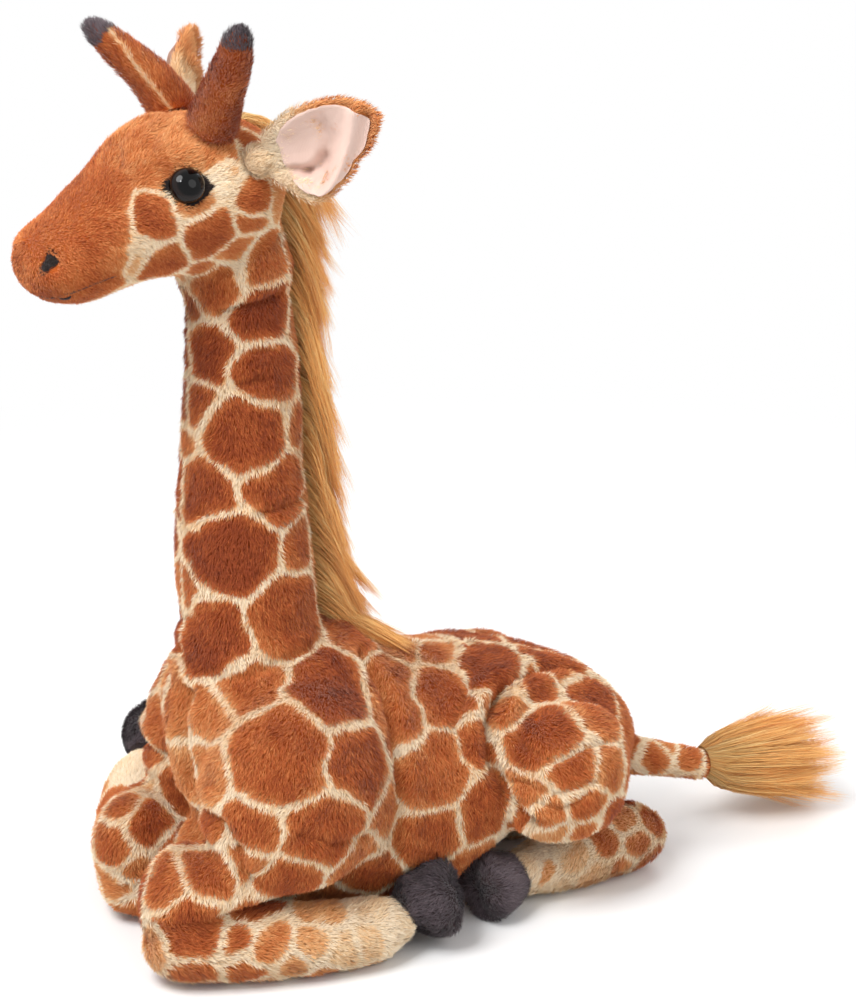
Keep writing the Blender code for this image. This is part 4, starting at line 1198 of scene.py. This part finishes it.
half = onHide(noseStyle["mouth"])
half += [surfaces["body"].find_nearest(fromHead(*place))[0] for place in noseStyle["mouthFront"]]
mouthLine = half + [mirrorInHead(place) for place in reversed(half[:-1])]
curve = bpy.data.curves.new("mouth_seam", "CURVE")
curve.dimensions = "3D"
curve.bevel_depth = noseStyle["seam"]
curve.bevel_resolution = 3
curve.use_fill_caps = True
spline = curve.splines.new("BEZIER")
spline.bezier_points.add(len(mouthLine) - 1)
for point, place in zip(spline.bezier_points, mouthLine):
    point.co = place + surfaces["body"].find_nearest(place)[1] * 0.3 * mm  # not quite sunk in
    point.handle_left_type = point.handle_right_type = "AUTO"
headPiece("mouth_seam", curve, stitchFinish, "mouth_stitching")
print("nose and mouth sewn")

# The printed plush of the trunk, neck and head
coatStyle = {
    "density": 3.4,  # fibres on a square millimetre
    "faceDensity": 5.4,
    "length": 4.3 * mm,
    "faceLength": 3.2 * mm,
    "width": 0.33 * mm,
    "faceWidth": 0.26 * mm,
    "rise": 0.55,
    "mottle": 0.085,
    "seed": 20,
    "fill": 0.85,  # how full every stuffed piece is
    "bareNostril": 4.2 * mm,  # round its middle, where no pile grows
    "byMouth": 3 * mm,  # the pile is trimmed this near the mouth's seam
}
regions = ("trunk", "neck_lower", "neck_upper", "head")
riding = {"trunk": "body", "neck_lower": "lower", "neck_upper": "upper", "head": "head"}
limbs = ("shoulder", "forearm", "haunch")
replaced = {
    "trunk": ["torso"] + [part + "_" + sideName for part in limbs for sideName in sides],
    "neck_lower": ["neck"],
    "neck_upper": ["neck"],
    "head": ["head"],
}
triRegions = regionOf(pointsOf(bodyMesh)[trianglesOf(bodyMesh)].mean(1))
for index, region in enumerate(regions):
    part = partOfMesh(region + "_skin", bodyMesh, triRegions == index)
    addTones(part, hideTone(pointsOf(part)))
    if region == "trunk":
        for sideName in sides:
            capSeam(part, sideName)
    part.materials.append(spottedBacking)
    skin = addObject(region + "_skin", part)
    finishPiece(skin, riding[region])
    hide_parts(*replaced[region])


def bodyDensity(tris, co):
    return np.where(regionOf(co[tris].mean(1)) == 3, coatStyle["faceDensity"], coatStyle["density"])


def combed(root, region):
    # Which way the pile lies: down the neck and the sides, back over the trunk and the face
    flow = np.tile((0.0, -0.35, -0.9), (len(root), 1))
    flow[:, 1] += 0.75 * smoothStep(root[:, 1], -0.03, 0.05)
    flow[(region == 1) | (region == 2)] = (0.0, -0.05, -1.0)
    high = smoothStep(inHead(root)[:, 2], 10, 45)[:, None]
    back = np.array(-headFront) * (0.6 + 0.4 * high) + np.array((0, 0, 1.0)) * (high * 0.7 - 0.45)
    flow[region == 3] = back[region == 3]
    return flow


root, normal = scatter(bodyMesh, bodyDensity, coatStyle["seed"])
far, covered = space(root, normal, [name for name in skins if name != "body"])
for sideName in sides:
    x, y, z = inEye(sideName, root)
    covered |= (np.abs(y) < feltEdge(x) * 0.92) & (np.abs(x) < 1) & (np.abs(z) < 9 * mm)
    pad = np.array([tuple(place) for place in nostrils[sideName]])
    covered |= np.linalg.norm(root - pad.mean(0), axis=1) < coatStyle["bareNostril"]
root, normal, far = root[~covered], normal[~covered], far[~covered]
region = regionOf(root)
tones = hideTone(root)
flow = combed(root, region)
byMouth = np.minimum(alongLine(root, mouthLine) / coatStyle["byMouth"], 1)
snout = 0.72 + 0.28 * smoothStep(-inHead(root)[:, 0], -100, -60)
trim = np.where(region == 3, snout * (0.62 + 0.38 * byMouth), 1.0)
pieces = (
    ("trunk_pile_left", (region == 0) & (root[:, 0] >= 0), "body"),
    ("trunk_pile_right", (region == 0) & (root[:, 0] < 0), "body"),
    ("neck_pile_lower", region == 1, "lower"),
    ("neck_pile_upper", region == 2, "upper"),
    ("head_pile", region == 3, "head"),
)
for number, (name, chosen, rides) in enumerate(pieces):
    style = {**coatStyle, "seed": 40 + 10 * number, "trim": trim[chosen]}
    if name == "head_pile":
        style.update(width=coatStyle["faceWidth"], length=coatStyle["faceLength"])
    growPile(name, root[chosen], normal[chosen], flow[chosen], tones[chosen], style, rides,
             spottedPile, far[chosen])


# Legs, tail, horns and hooves
def coverPart(name, rides, flowAt, toneAt, style, backing, pile, near, cap=None, skip=None):
    # Its skin and its pile: near names the skins that may cover it, and cap the side of a knee's cut
    mesh = skins[name]
    root, normal = scatter(mesh, style["density"], style["seed"])
    addTones(mesh, toneAt(pointsOf(mesh)))
    if cap:
        capSeam(mesh, cap)
    mesh.materials.append(backing)
    skin = addObject(name + "_skin", mesh)
    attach(skin, rides)
    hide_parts(name)
    not name.startswith("ear")
    far, covered = space(root, normal, near)
    if skip is not None:
        covered |= skip(root)
    root, normal, far = root[~covered], normal[~covered], far[~covered]
    growPile(name + "_pile", root, normal, flowAt(root), toneAt(root), style, rides, pile, far)


legStyle = {
    "density": 3.0,
    "length": 4.4 * mm,
    "width": 0.38 * mm,
    "rise": 0.5,
    "mottle": 0.055,
    "seed": 200,
}
hoofStyle = {
    "density": 4.2,
    "length": 4.4 * mm,
    "width": 0.34 * mm,
    "rise": 0.6,
    "mottle": 0.20,
    "seed": 300,
}


def charcoalTone(points):
    return np.clip(0.45 + 0.25 * ripple(points, 12 * mm, 31), 0, 1)


for sideName in sides:
    for end in ("fore", "hind"):
        legName, hoofName = end + "leg_" + sideName, end + "_hoof_" + sideName

        def downLeg(root, way=legWays[legName]):
            return np.tile(way + np.array((0, 0, -0.25)), (len(root), 1))

        def overHoof(root, way=legWays[legName], hoof=hooves[hoofName]):
            # out from the star of seams on the sole, and back along the sides
            along = (root - hoof) @ way
            spread = root - hoof - along[:, None] * way
            return unit(spread) - way * 0.9 * (1 - smoothStep(along, 4 * mm, 14 * mm))[:, None]

        style = {**legStyle, "seed": legStyle["seed"] + len(legName)}
        coverPart(legName, legName, downLeg, hideTone, style, spottedBacking,
                  spottedPile, ["body", hoofName], sideName if end == "fore" else None)
        style = {**hoofStyle, "seed": hoofStyle["seed"] + len(hoofName)}
        coverPart(hoofName, legName, overHoof, charcoalTone, style,
                  charcoalBacking, charcoalPile, ["body", legName])
print("legs covered")


def tailward(root):
    return np.tile((0.0, 1.0, -0.3), (len(root), 1))


tailStyle = {**legStyle, "length": 3.8 * mm, "seed": 410}
coverPart("tail", "tail", tailward, hideTone, tailStyle, spottedBacking,
          spottedPile, ["body"])

hornPile = {
    "density": 4.6,
    "length": 3.8 * mm,
    "width": 0.30 * mm,
    "rise": 0.5,
    "mottle": 0.10,
    "seed": 420,
    "tip": 6 * mm,  # how far down from its end a horn is dark
    "tipLength": 4.6 * mm,
    "tipMottle": 0.2,
}
for sideName in sides:
    name = "horn_" + sideName
    low, axis, reach = hornAxes[sideName]
    mesh = skins[name]

    def hornTone(points, low=low, axis=axis, seam=hornShape[sideName]["seam"]):
        # brown, and paler at the seam along its front, which the picture shows on the far horn
        along = (points - low) @ axis
        front = np.array(eyePoint.col[2].to_3d())
        beside = np.cross(axis, front)
        offset = (points - low) @ beside - hornShape["seamAt"] - 0.4 * mm * ripple(points, 4 * mm, 36)
        pale = seam * np.exp(-(offset / (1.0 * mm)) ** 2) * ((points - low) @ front > 0)
        tone = 0.74 + 0.10 * ripple(points, 12 * mm, 33) + 0.08 * smoothStep(along, 20 * mm, 50 * mm)
        return np.clip(tone - pale, 0, 1)

    root, normal = scatter(mesh, hornPile["density"], hornPile["seed"])
    far, covered = space(root, normal, ["body"])
    root, normal, far = root[~covered], normal[~covered], far[~covered]
    along = (root - low) @ axis + 2.0 * mm * ripple(root, 5 * mm, 34)
    dark = along > reach - hornPile["tip"]
    flow = np.tile(axis, (len(root), 1))
    growPile(name + "_pile", root[~dark], normal[~dark], flow[~dark], hornTone(root[~dark]),
             hornPile, "head", spottedPile, far[~dark])
    tipPile = {**hornPile, "mottle": hornPile["tipMottle"], "length": hornPile["tipLength"]}
    growPile(name + "_tip_pile", root[dark], normal[dark], flow[dark], charcoalTone(root[dark]),
             tipPile, "head", charcoalPile, far[dark])
    addTones(mesh, hornTone(pointsOf(mesh)))
    mesh.materials.append(spottedBacking)
    skin = addObject(name + "_skin", mesh)
    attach(skin, "head")
    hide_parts(name, "horn_tip_" + sideName)
print("horns and tail covered")


# Ears: short tan plush outside, and the smooth lining in the hollow
def liningFinish(name):
    sheen = {"Sheen Weight": 0.4, "Sheen Roughness": 0.4}
    sockets = {"Roughness": 0.85, "Specular IOR Level": 0.2, **sheen}
    material, thread, shader = newMaterial(name, sockets)
    place = thread.node("TexCoord", out=3)
    weave = {"Vector": place, "Scale": 700.0, "Distortion": 1.0}
    warp, weft = (thread.node("TexWave", {"bands_direction": axis}, weave) for axis in "XZ")
    mottle = thread.node("TexNoise", inputs={"Vector": place, "Scale": 60.0, "Detail": 4.0})
    colour = thread.tint((*dye(226, 198, 186), 1), (*dye(208, 176, 162), 1), mottle)
    bump = thread.node("Bump", inputs={"Height": warp + weft, "Strength": 0.25, "Distance": 0.2 * mm})
    thread.feed(shader.inputs["Base Color"], colour)
    thread.feed(shader.inputs["Normal"], bump)
    return material


liningCloth = liningFinish("ear_lining_cloth")
earPile = {
    "density": 4.4,
    "length": 4.2 * mm,
    "width": 0.32 * mm,
    "rise": 0.45,
    "mottle": 0.05,
    "seed": 500,
}
earShape = {
    # round the near ear, in the picture's pixels
    "outline": (
        (262, 168), (258, 140), (272, 118), (288, 107), (302, 101), (320, 97), (337, 95), (354, 98),
        (368, 105), (380, 116), (376, 134), (358, 163), (342, 188), (324, 204), (306, 204),
        (288, 194), (272, 180),
    ),
    "pileRoom": 1.5,  # mm, by which the cloth stays inside that outline
    "root": 7 * mm,  # from its hinge, where an ear keeps its own form, and where it is free
    "free": 20 * mm,
    # the lining's cut: a leaf, along the ear and across it with what its folds take up
    "flat": (0.046, 0.050),
    "area": 0.0017,
    "liningRise": 0.35,  # mm, off the plush that it is sewn on
    "underLining": 1.3 * mm,  # nearer to the lining than this no pile grows
    # depth and breadth in millimetres, then the fold's line in the picture's pixels
    "folds": (
        (4.6, 2.4, (262, 170), (288, 171), (306, 173)),
        (4.4, 2.4, (306, 173), (318, 166), (322, 158)),
        (-3.4, 3.0, (356, 108), (350, 140), (340, 170), (322, 198)),
        (3.0, 3.2, (318, 116), (329, 138), (326, 160), (316, 186)),
        (-2.4, 3.4, (284, 128), (300, 116), (316, 110)),
        (-2.2, 2.6, (284, 180), (300, 186), (316, 190)),
        (1.8, 2.2, (366, 120), (360, 148), (346, 176)),
    ),
}


def earFrame(sideName):
    # The middle of an ear's lining, the way out along the ear, across it, and out of its hollow
    inner = pointsOf(frame["nodes"]["ear_lining_" + sideName].data)
    centre = inner.mean(0)
    hollow = np.linalg.svd(inner - centre, full_matrices=False)[2][2]
    hollow = hollow * np.sign(hollow @ (centre - pointsOf(skins["ear_" + sideName]).mean(0)))
    out = centre - np.array(joints["ear_flap_" + sideName]["pos_m"])
    out = unit(out - hollow * (out @ hollow))
    return centre, out, np.cross(hollow, out), hollow


earFrames = {sideName: earFrame(sideName) for sideName in sides}


def onEarPlane(x, y):
    # Where the pixel's ray meets the plane of the near ear, in millimetres along and across it
    centre, out, across, hollow = earFrames["left"]
    start, ray = (np.array(value) for value in photoRay(x, y))
    spot = start + ray * (((centre - start) @ hollow) / (ray @ hollow)) - centre
    return spot @ out / mm, spot @ across / mm


earOutline = np.array([onEarPlane(x, y) for x, y in earShape["outline"]])
bearings = np.arctan2(earOutline[:, 1], earOutline[:, 0])
order = np.argsort(bearings)
earWanted = (bearings[order], np.hypot(*earOutline.T)[order] - earShape["pileRoom"])
earFolds = [(depth, breadth, [onEarPlane(x, y) for x, y in line])
            for depth, breadth, *line in earShape["folds"]]


def onEar(points, sideName):
    centre, out, across, hollow = earFrames[sideName]
    away = (points - centre) / mm
    return away @ out, (away @ across) * sides[sideName], away @ hollow


def rimOf(points, sideName):
    # How far the ear reaches from its middle, at each bearing
    u, v, w = onEar(points, sideName)
    bearing, reach = np.arctan2(v, u), np.hypot(u, v)
    bins = np.linspace(-pi, pi, 49)
    most = [reach[(bearing >= a) & (bearing < b)].max(initial=8.0) for a, b in zip(bins, bins[1:])]
    return (bins[1:] + bins[:-1]) / 2, np.array(most)


def shapeEar(points, sideName, rim):
    # Lets the outline out to the near ear's own, then presses its folds in
    centre, out, across, hollow = earFrames[sideName]
    u, v, w = onEar(points, sideName)
    bearing, reach = np.arctan2(v, u), np.hypot(u, v)
    had = np.interp(bearing, *rim, period=2 * pi)
    wanted = np.interp(bearing, *earWanted, period=2 * pi)
    grow = 1 + (wanted / had - 1) * np.clip(reach / had, 0, 1)
    u, v = u * grow, v * grow
    flat = np.stack([u, v], 1)
    push = sum(-depth * np.exp(-(alongLine(flat, line) / breadth) ** 2)
               for depth, breadth, line in earFolds)
    w = w + push * (1 - 0.6 * smoothStep(reach / had, 0.80, 1.0))  # the rim is stiffer
    v = v * sides[sideName]
    shaped = centre + (u[:, None] * out + v[:, None] * across + w[:, None] * hollow) * mm
    # the root stays on the head
    hinge = np.array(joints["ear_flap_" + sideName]["pos_m"])
    away = np.linalg.norm(points - hinge, axis=1)
    free = smoothStep(away, earShape["root"], earShape["free"])
    return points + (shaped - points) * free[:, None]


def divide(bm):
    # Makes a CAD mesh fine enough to fold
    bmesh.ops.remove_doubles(bm, verts=bm.verts, dist=0.01 * mm)
    bmesh.ops.subdivide_edges(bm, edges=bm.edges, cuts=3, use_grid_fill=True)


for sideName in sides:
    name = "ear_" + sideName
    mesh = skins[name]
    centre, out, across, hollow = earFrames[sideName]
    hinge = np.array(joints["ear_flap_" + sideName]["pos_m"])
    rim = rimOf(pointsOf(mesh), sideName)
    setPoints(mesh, shapeEar(pointsOf(mesh), sideName, rim))
    sink(mesh, formStyle["earSink"])
    surfaces[name] = surfaceOf(mesh)
    piece = frame["nodes"]["ear_lining_" + sideName].data.copy()
    rework(piece, divide)
    shaped = shapeEar(pointsOf(piece), sideName, rim)
    setPoints(piece, shaped + hollow * earShape["liningRise"] * mm)
    piece.materials.clear()
    piece.materials.append(liningCloth)
    piece.shade_smooth()
    cloth = addObject("ear_lining_cloth_" + sideName, piece)
    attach(cloth, name)
    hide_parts("ear_lining_" + sideName)
    name + "_skin"
    tree = surfaceOf(piece)

    def earTone(points, hinge=hinge, out=out):
        # cream at the root, tan from the middle out
        tan = 0.42 * smoothStep((points - hinge) @ out, 16 * mm, 40 * mm)
        return np.clip(0.05 + tan + 0.06 * ripple(points, 9 * mm, 35), 0, 1)

    def underLining(root, tree=tree):
        away = np.array([tree.find_nearest(Vector(p))[3] for p in root])
        return away < earShape["underLining"]

    def earward(root, out=out):
        return np.tile(out, (len(root), 1))

    style = {**earPile, "seed": earPile["seed"] + len(sideName)}
    coverPart(name, name, earward, earTone, style, spottedBacking, spottedPile,
              ["body"], skip=underLining)
print("ears lined")


# Long hair: the mane down the nape and the tuft on the tail
hairStyle = {
    "floor": 0.6 * mm,
    "taper": 0.85,  # how much narrower than its root a hair ends
    "dyeBreadth": 0.015,
}


def growHair(name, root, start, ends, lengths, lock, style, tones, riding, replaces):
    # Each hair leaves along start and settles into ends, drawn to its lock's own line
    rng = np.random.default_rng(style["seed"])
    count, steps = len(root), style["steps"]
    drift = rng.normal(0, style["wander"], (lock.max() + 1, 3))
    heading = start.copy()
    path = [root]
    for k in range(1, steps + 1):
        t = k / steps
        ease = min(t / style["settle"], 1.0)
        target = unit(ends + drift[lock] * t + rng.normal(0, style["stray"], (count, 3)))
        heading = unit(heading * (1 - ease * 0.6) + target * ease)
        path.append(path[-1] + heading * (lengths / steps)[:, None])
    path = np.stack(path, 1)
    counts = np.maximum(np.bincount(lock), 1)
    for k in range(1, steps + 1):
        # the ends of a lock gather to its own middle
        pull = style["gather"] * (k / steps) ** 1.5
        middle = np.stack([np.bincount(lock, path[:, k, i]) / counts for i in range(3)], 1)[lock]
        path[:, k] += (middle - path[:, k]) * pull
    path[..., 2] = np.maximum(path[..., 2], hairStyle["floor"])
    aside = unit(np.cross(ends, rng.normal(0, 1, (count, 3)) + 1e-3))
    taper = np.array([1 - (k / steps) ** 2 * hairStyle["taper"] for k in range(steps + 1)])
    half = style["width"] / 2 * rng.uniform(0.7, 1.3, count)
    offset = aside[:, None] * half[:, None, None] * taper[None, :, None]
    verts = np.stack([path - offset, path + offset], 2).reshape(-1, 3)
    first = np.arange(count)[:, None] * (2 * (steps + 1)) + 2 * np.arange(steps)[None]
    quads = np.stack([first, first + 1, first + 3, first + 2], 2).reshape(-1)
    dyeAt = np.clip(tones + rng.normal(0, style["mottle"], count), 0.03, 0.97)[:, None]
    # up the map along each hair, which the hair's material darkens toward the root as painted shade
    low = np.arange(steps)[None] / steps + 0 * dyeAt
    high = low + 1 / steps
    left, right = (dyeAt + side * hairStyle["dyeBreadth"] + 0 * low for side in (-1, 1))
    ring = ((left, low), (right, low), (right, high), (left, high))
    chart = np.stack([np.stack(pair, 2) for pair in ring], 2).reshape(-1, 2)
    obj = fibreMesh(name, verts, quads, np.arange(count * steps) * 4, chart)
    obj.data.materials.append(goldHair)
    finishPiece(obj, riding)
    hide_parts(*replaces)
    print(name, count, "hairs")


# Up the nape: a point inside the neck, the way out to the skin, and the way that the hair falls
nape = (
    ((0.000, -0.056, 0.128), (0, 0.62, 0.78), (0, 0.80, -0.62)),
    ((0.000, -0.074, 0.155), (0, 0.88, 0.46), (0, 0.74, -0.68)),
    ((0.000, -0.088, 0.200), (0, 0.98, 0.18), (0, 0.52, -0.86)),
    ((0.000, -0.090, 0.260), (0, 1.00, 0.04), (0, 0.32, -0.95)),
    ((0.000, -0.091, 0.320), (0, 1.00, 0.02), (0, 0.24, -0.97)),
    ((-0.002, -0.094, 0.370), (0, 0.98, 0.20), (0, 0.34, -0.94)),
    ((-0.004, -0.100, 0.392), (0, 0.85, 0.52), (0, 0.45, -0.88)),
    ((-0.005, -0.106, 0.402), (0, 0.60, 0.80), (0, 0.75, -0.60)),
)
maneStyle = {
    "hairs": 26000,
    "locks": 260,
    "reach": 0.33,  # m, along the nape
    "breadth": 5.5 * mm,
    "length": 54 * mm,
    "steps": 6,
    "width": 0.25 * mm,
    "wander": 0.11,
    "stray": 0.05,
    "settle": 0.45,
    "gather": 0.28,
    "mottle": 0.15,
    "seed": 600,
}
rng = np.random.default_rng(maneStyle["seed"])
hairs = maneStyle["hairs"]
up = rng.random(hairs)
aside = rng.normal(0, 0.5, hairs).clip(-1, 1) * maneStyle["breadth"]
napeTable = np.array([[*inner, *outward, *fall] for inner, outward, fall in nape])
station = up * (len(nape) - 1)
low = np.minimum(station.astype(int), len(nape) - 2)
mix = (station - low)[:, None]
rows = napeTable[low] * (1 - mix) + napeTable[low + 1] * mix
inside, outward, falling = rows[:, :3], unit(rows[:, 3:6]), unit(rows[:, 6:])
inside[:, 0] += aside
hits = [surfaces["body"].ray_cast(Vector(p + ray * 90 * mm), Vector(-ray))
        for p, ray in zip(inside, outward)]
roots = np.array([tuple(hit[0]) for hit in hits])
away = np.array([tuple(hit[1]) for hit in hits])
lockMiddles = rng.integers(0, hairs, maneStyle["locks"])
spread = np.stack([up * maneStyle["reach"], aside], 1)
locks = np.argmin(((spread[:, None] - spread[lockMiddles][None]) ** 2).sum(2), 1)
stand = rng.uniform(0.0, 1.0, hairs)[:, None]
apart = np.stack([aside / mm * 0.07, 0 * aside, 0 * aside], 1)
start = unit(away * (0.3 + 0.9 * stand) + falling * 0.4 + apart)
lengths = maneStyle["length"] * rng.uniform(0.7, 1.1, hairs)
lengths = lengths * rng.uniform(0.75, 1.2, maneStyle["locks"])[locks]
# shorter at the withers and at the poll
lengths *= 0.75 + 0.30 * smoothStep(up, 0.05, 0.3) - 0.2 * smoothStep(up, 0.85, 1.0)
# hairs that lie close to the neck are darker, painted shade under the standing hairs, with a random
# tone for each lock
tone = 0.30 + 0.34 * (1 - stand[:, 0]) + 0.06 * rng.normal(0, 1, maneStyle["locks"])[locks]
lower = roots[:, 2] < seamStyle["neckHalf"]
halves = (
    ("mane_hair_lower", lower, "lower", ["mane", "mane_withers"]),
    ("mane_hair_upper", ~lower, "upper", ["mane", "mane_poll"]),
)
for name, chosen, rides, nodes in halves:
    own = np.unique(locks[chosen], return_inverse=True)[1]
    inSkin = roots[chosen] - away[chosen] * mm
    growHair(name, inSkin, start[chosen], falling[chosen], lengths[chosen], own, maneStyle,
             tone[chosen], rides, nodes)

tuftStyle = {
    "hairs": 16000,
    "locks": 150,
    "length": 80 * mm,
    "steps": 6,
    "width": 0.26 * mm,
    "wander": 0.12,
    "stray": 0.07,
    "settle": 0.30,
    "gather": 0.20,
    "mottle": 0.14,
    "seed": 640,
    "rise": 9 * mm,  # from the tail's underside to the tuft's middle
    "radius": 8.5 * mm,
    "dome": 4 * mm,  # how far the outer roots lie back
    "slope": radians(12),
}
rng = np.random.default_rng(tuftStyle["seed"])
hairs = tuftStyle["hairs"]
tailLow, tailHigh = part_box("tail")
tailEnd = np.array((0.0, tailHigh.y, tailLow.z + tuftStyle["rise"]))
tailWay = np.array((0.0, cos(tuftStyle["slope"]), -sin(tuftStyle["slope"])))
around = rng.uniform(0, 2 * pi, hairs)
ring = np.sqrt(rng.random(hairs))
spoke = np.stack([np.cos(around), 0 * around, np.sin(around)], 1)
roots = tailEnd + spoke * (ring * tuftStyle["radius"])[:, None]
roots = roots - tailWay * (ring[:, None] * tuftStyle["dome"])
# how far the ends spread aside, and up and down with a little drop
fan = np.stack([np.cos(around) * ring * 0.17, 1 + 0 * ring, np.sin(around) * ring * 0.13 - 0.09], 1)
start = unit(tailWay + spoke * (0.20 + 1.5 * ring)[:, None] - np.array((0, 0, 0.75)))
flatRing = spoke[:, ::2] * ring[:, None]
lockMiddles = rng.integers(0, hairs, tuftStyle["locks"])
locks = np.argmin(((flatRing[:, None] - flatRing[lockMiddles][None]) ** 2).sum(2), 1)
lengths = tuftStyle["length"] * rng.uniform(0.7, 1.05, hairs)
lengths = lengths * rng.uniform(0.65, 1.12, tuftStyle["locks"])[locks]
# hairs from the tuft's middle are darker, painted shade inside the bunch, with a random tone for each
# lock
tone = 0.40 + 0.25 * (1 - ring) + 0.10 * rng.normal(0, 1, tuftStyle["locks"])[locks]
growHair("tail_tuft_hair", roots, start, unit(fan), lengths, locks, tuftStyle, tone, "tail",
         ["tail_tuft"])
print("hair combed")

for sideName in sides:
    data = frame["nodes"]["eye_washer_" + sideName].data
    data.materials.clear()
    data.materials.append(nylonFinish)


# Studio: a white floor that keeps the shadow, and soft lamps
studioStyle = {
    "floor": 12.0,
    # how far out the paper begins to be plain white, and is
    "fadeFrom": 0.42,
    "fadeTo": 0.95,
    "worldLight": 0.60,
    "aim": (0, 0, 0.15),
    # degrees round and up, metres away and across, watts
    "lamps": {
        "key_softbox": (20, 55, 1.5, 0.8, 17.0),
        "fill_softbox": (110, 35, 1.6, 1.0, 5.0),
        "back_softbox": (215, 50, 1.6, 0.9, 6.0),
        "window_lamp": (40, 48, 1.2, 0.10, 1.4),
    },
}


def seenRays(thread):
    # 1 for what the camera sees, directly, in a gloss or through glass
    rays = [thread.node("LightPath", out=out) for out in (0, 3, 6)]
    return thread.sum("MAXIMUM", thread.sum("MAXIMUM", rays[0], rays[1]), rays[2])


def studioFloor():
    size = studioStyle["floor"]
    bpy.ops.mesh.primitive_grid_add(x_subdivisions=8, y_subdivisions=8, size=size,
                                    location=(0, 0, 0))
    floor = bpy.context.object
    floor.name = "studio_floor"
    sockets = {"Roughness": 0.9, "Specular IOR Level": 0.0}
    material, thread, shader = newMaterial("floor_paper", sockets)
    seen = seenRays(thread)
    paleness = thread.tint((0.80, 0.80, 0.80, 1), (0.98, 0.98, 0.98, 1), seen)
    thread.feed(shader.inputs["Base Color"], paleness)
    # far from the giraffe the paper is plain white, whatever the lamps reach
    place = thread.node("TexCoord", out=3)
    distance = thread.node("VectorMath", {"operation": "LENGTH"}, {0: place}, 1)
    fade = {"Value": distance, "From Min": studioStyle["fadeFrom"], "From Max": studioStyle["fadeTo"]}
    beyond = thread.node("MapRange", {"interpolation_type": "SMOOTHSTEP"}, fade)
    paper = thread.node("Emission", inputs={"Color": (1, 1, 1, 1), "Strength": 1.0})
    lit = Thread(thread.tree, shader.outputs[0])
    both = thread.node("MixShader", inputs={0: beyond * seen, 1: lit, 2: paper})
    thread.feed(thread.tree.nodes["Material Output"].inputs["Surface"], both)
    floor.data.materials.append(material)


def studioWorld():
    strength = studioStyle["worldLight"]
    world = bpy.data.worlds.new("studio_world")
    bpy.context.scene.world = world
    world.use_nodes = True
    thread = Thread(world.node_tree)
    background = world.node_tree.nodes["Background"]
    background.inputs["Color"].default_value = (1, 1, 1, 1)
    thread.feed(background.inputs["Strength"], seenRays(thread) * (1 - strength) + strength)


def softbox(name, azimuth, elevation, distance, size, power):
    lamp = bpy.data.lights.new(name, "AREA")
    lamp.shape = "DISK"
    lamp.size = size
    lamp.energy = power
    obj = bpy.data.objects.new(name, lamp)
    place = lookingFrom(azimuth, elevation)
    place.translation = Vector(studioStyle["aim"]) + place.col[2].to_3d() * distance
    obj.matrix_world = place
    bpy.context.scene.collection.objects.link(obj)


studioFloor()
studioWorld()
for name, lamp in studioStyle["lamps"].items():
    softbox(name, *lamp)
bpy.context.scene.view_settings.view_transform = "Standard"

print("scene finished")
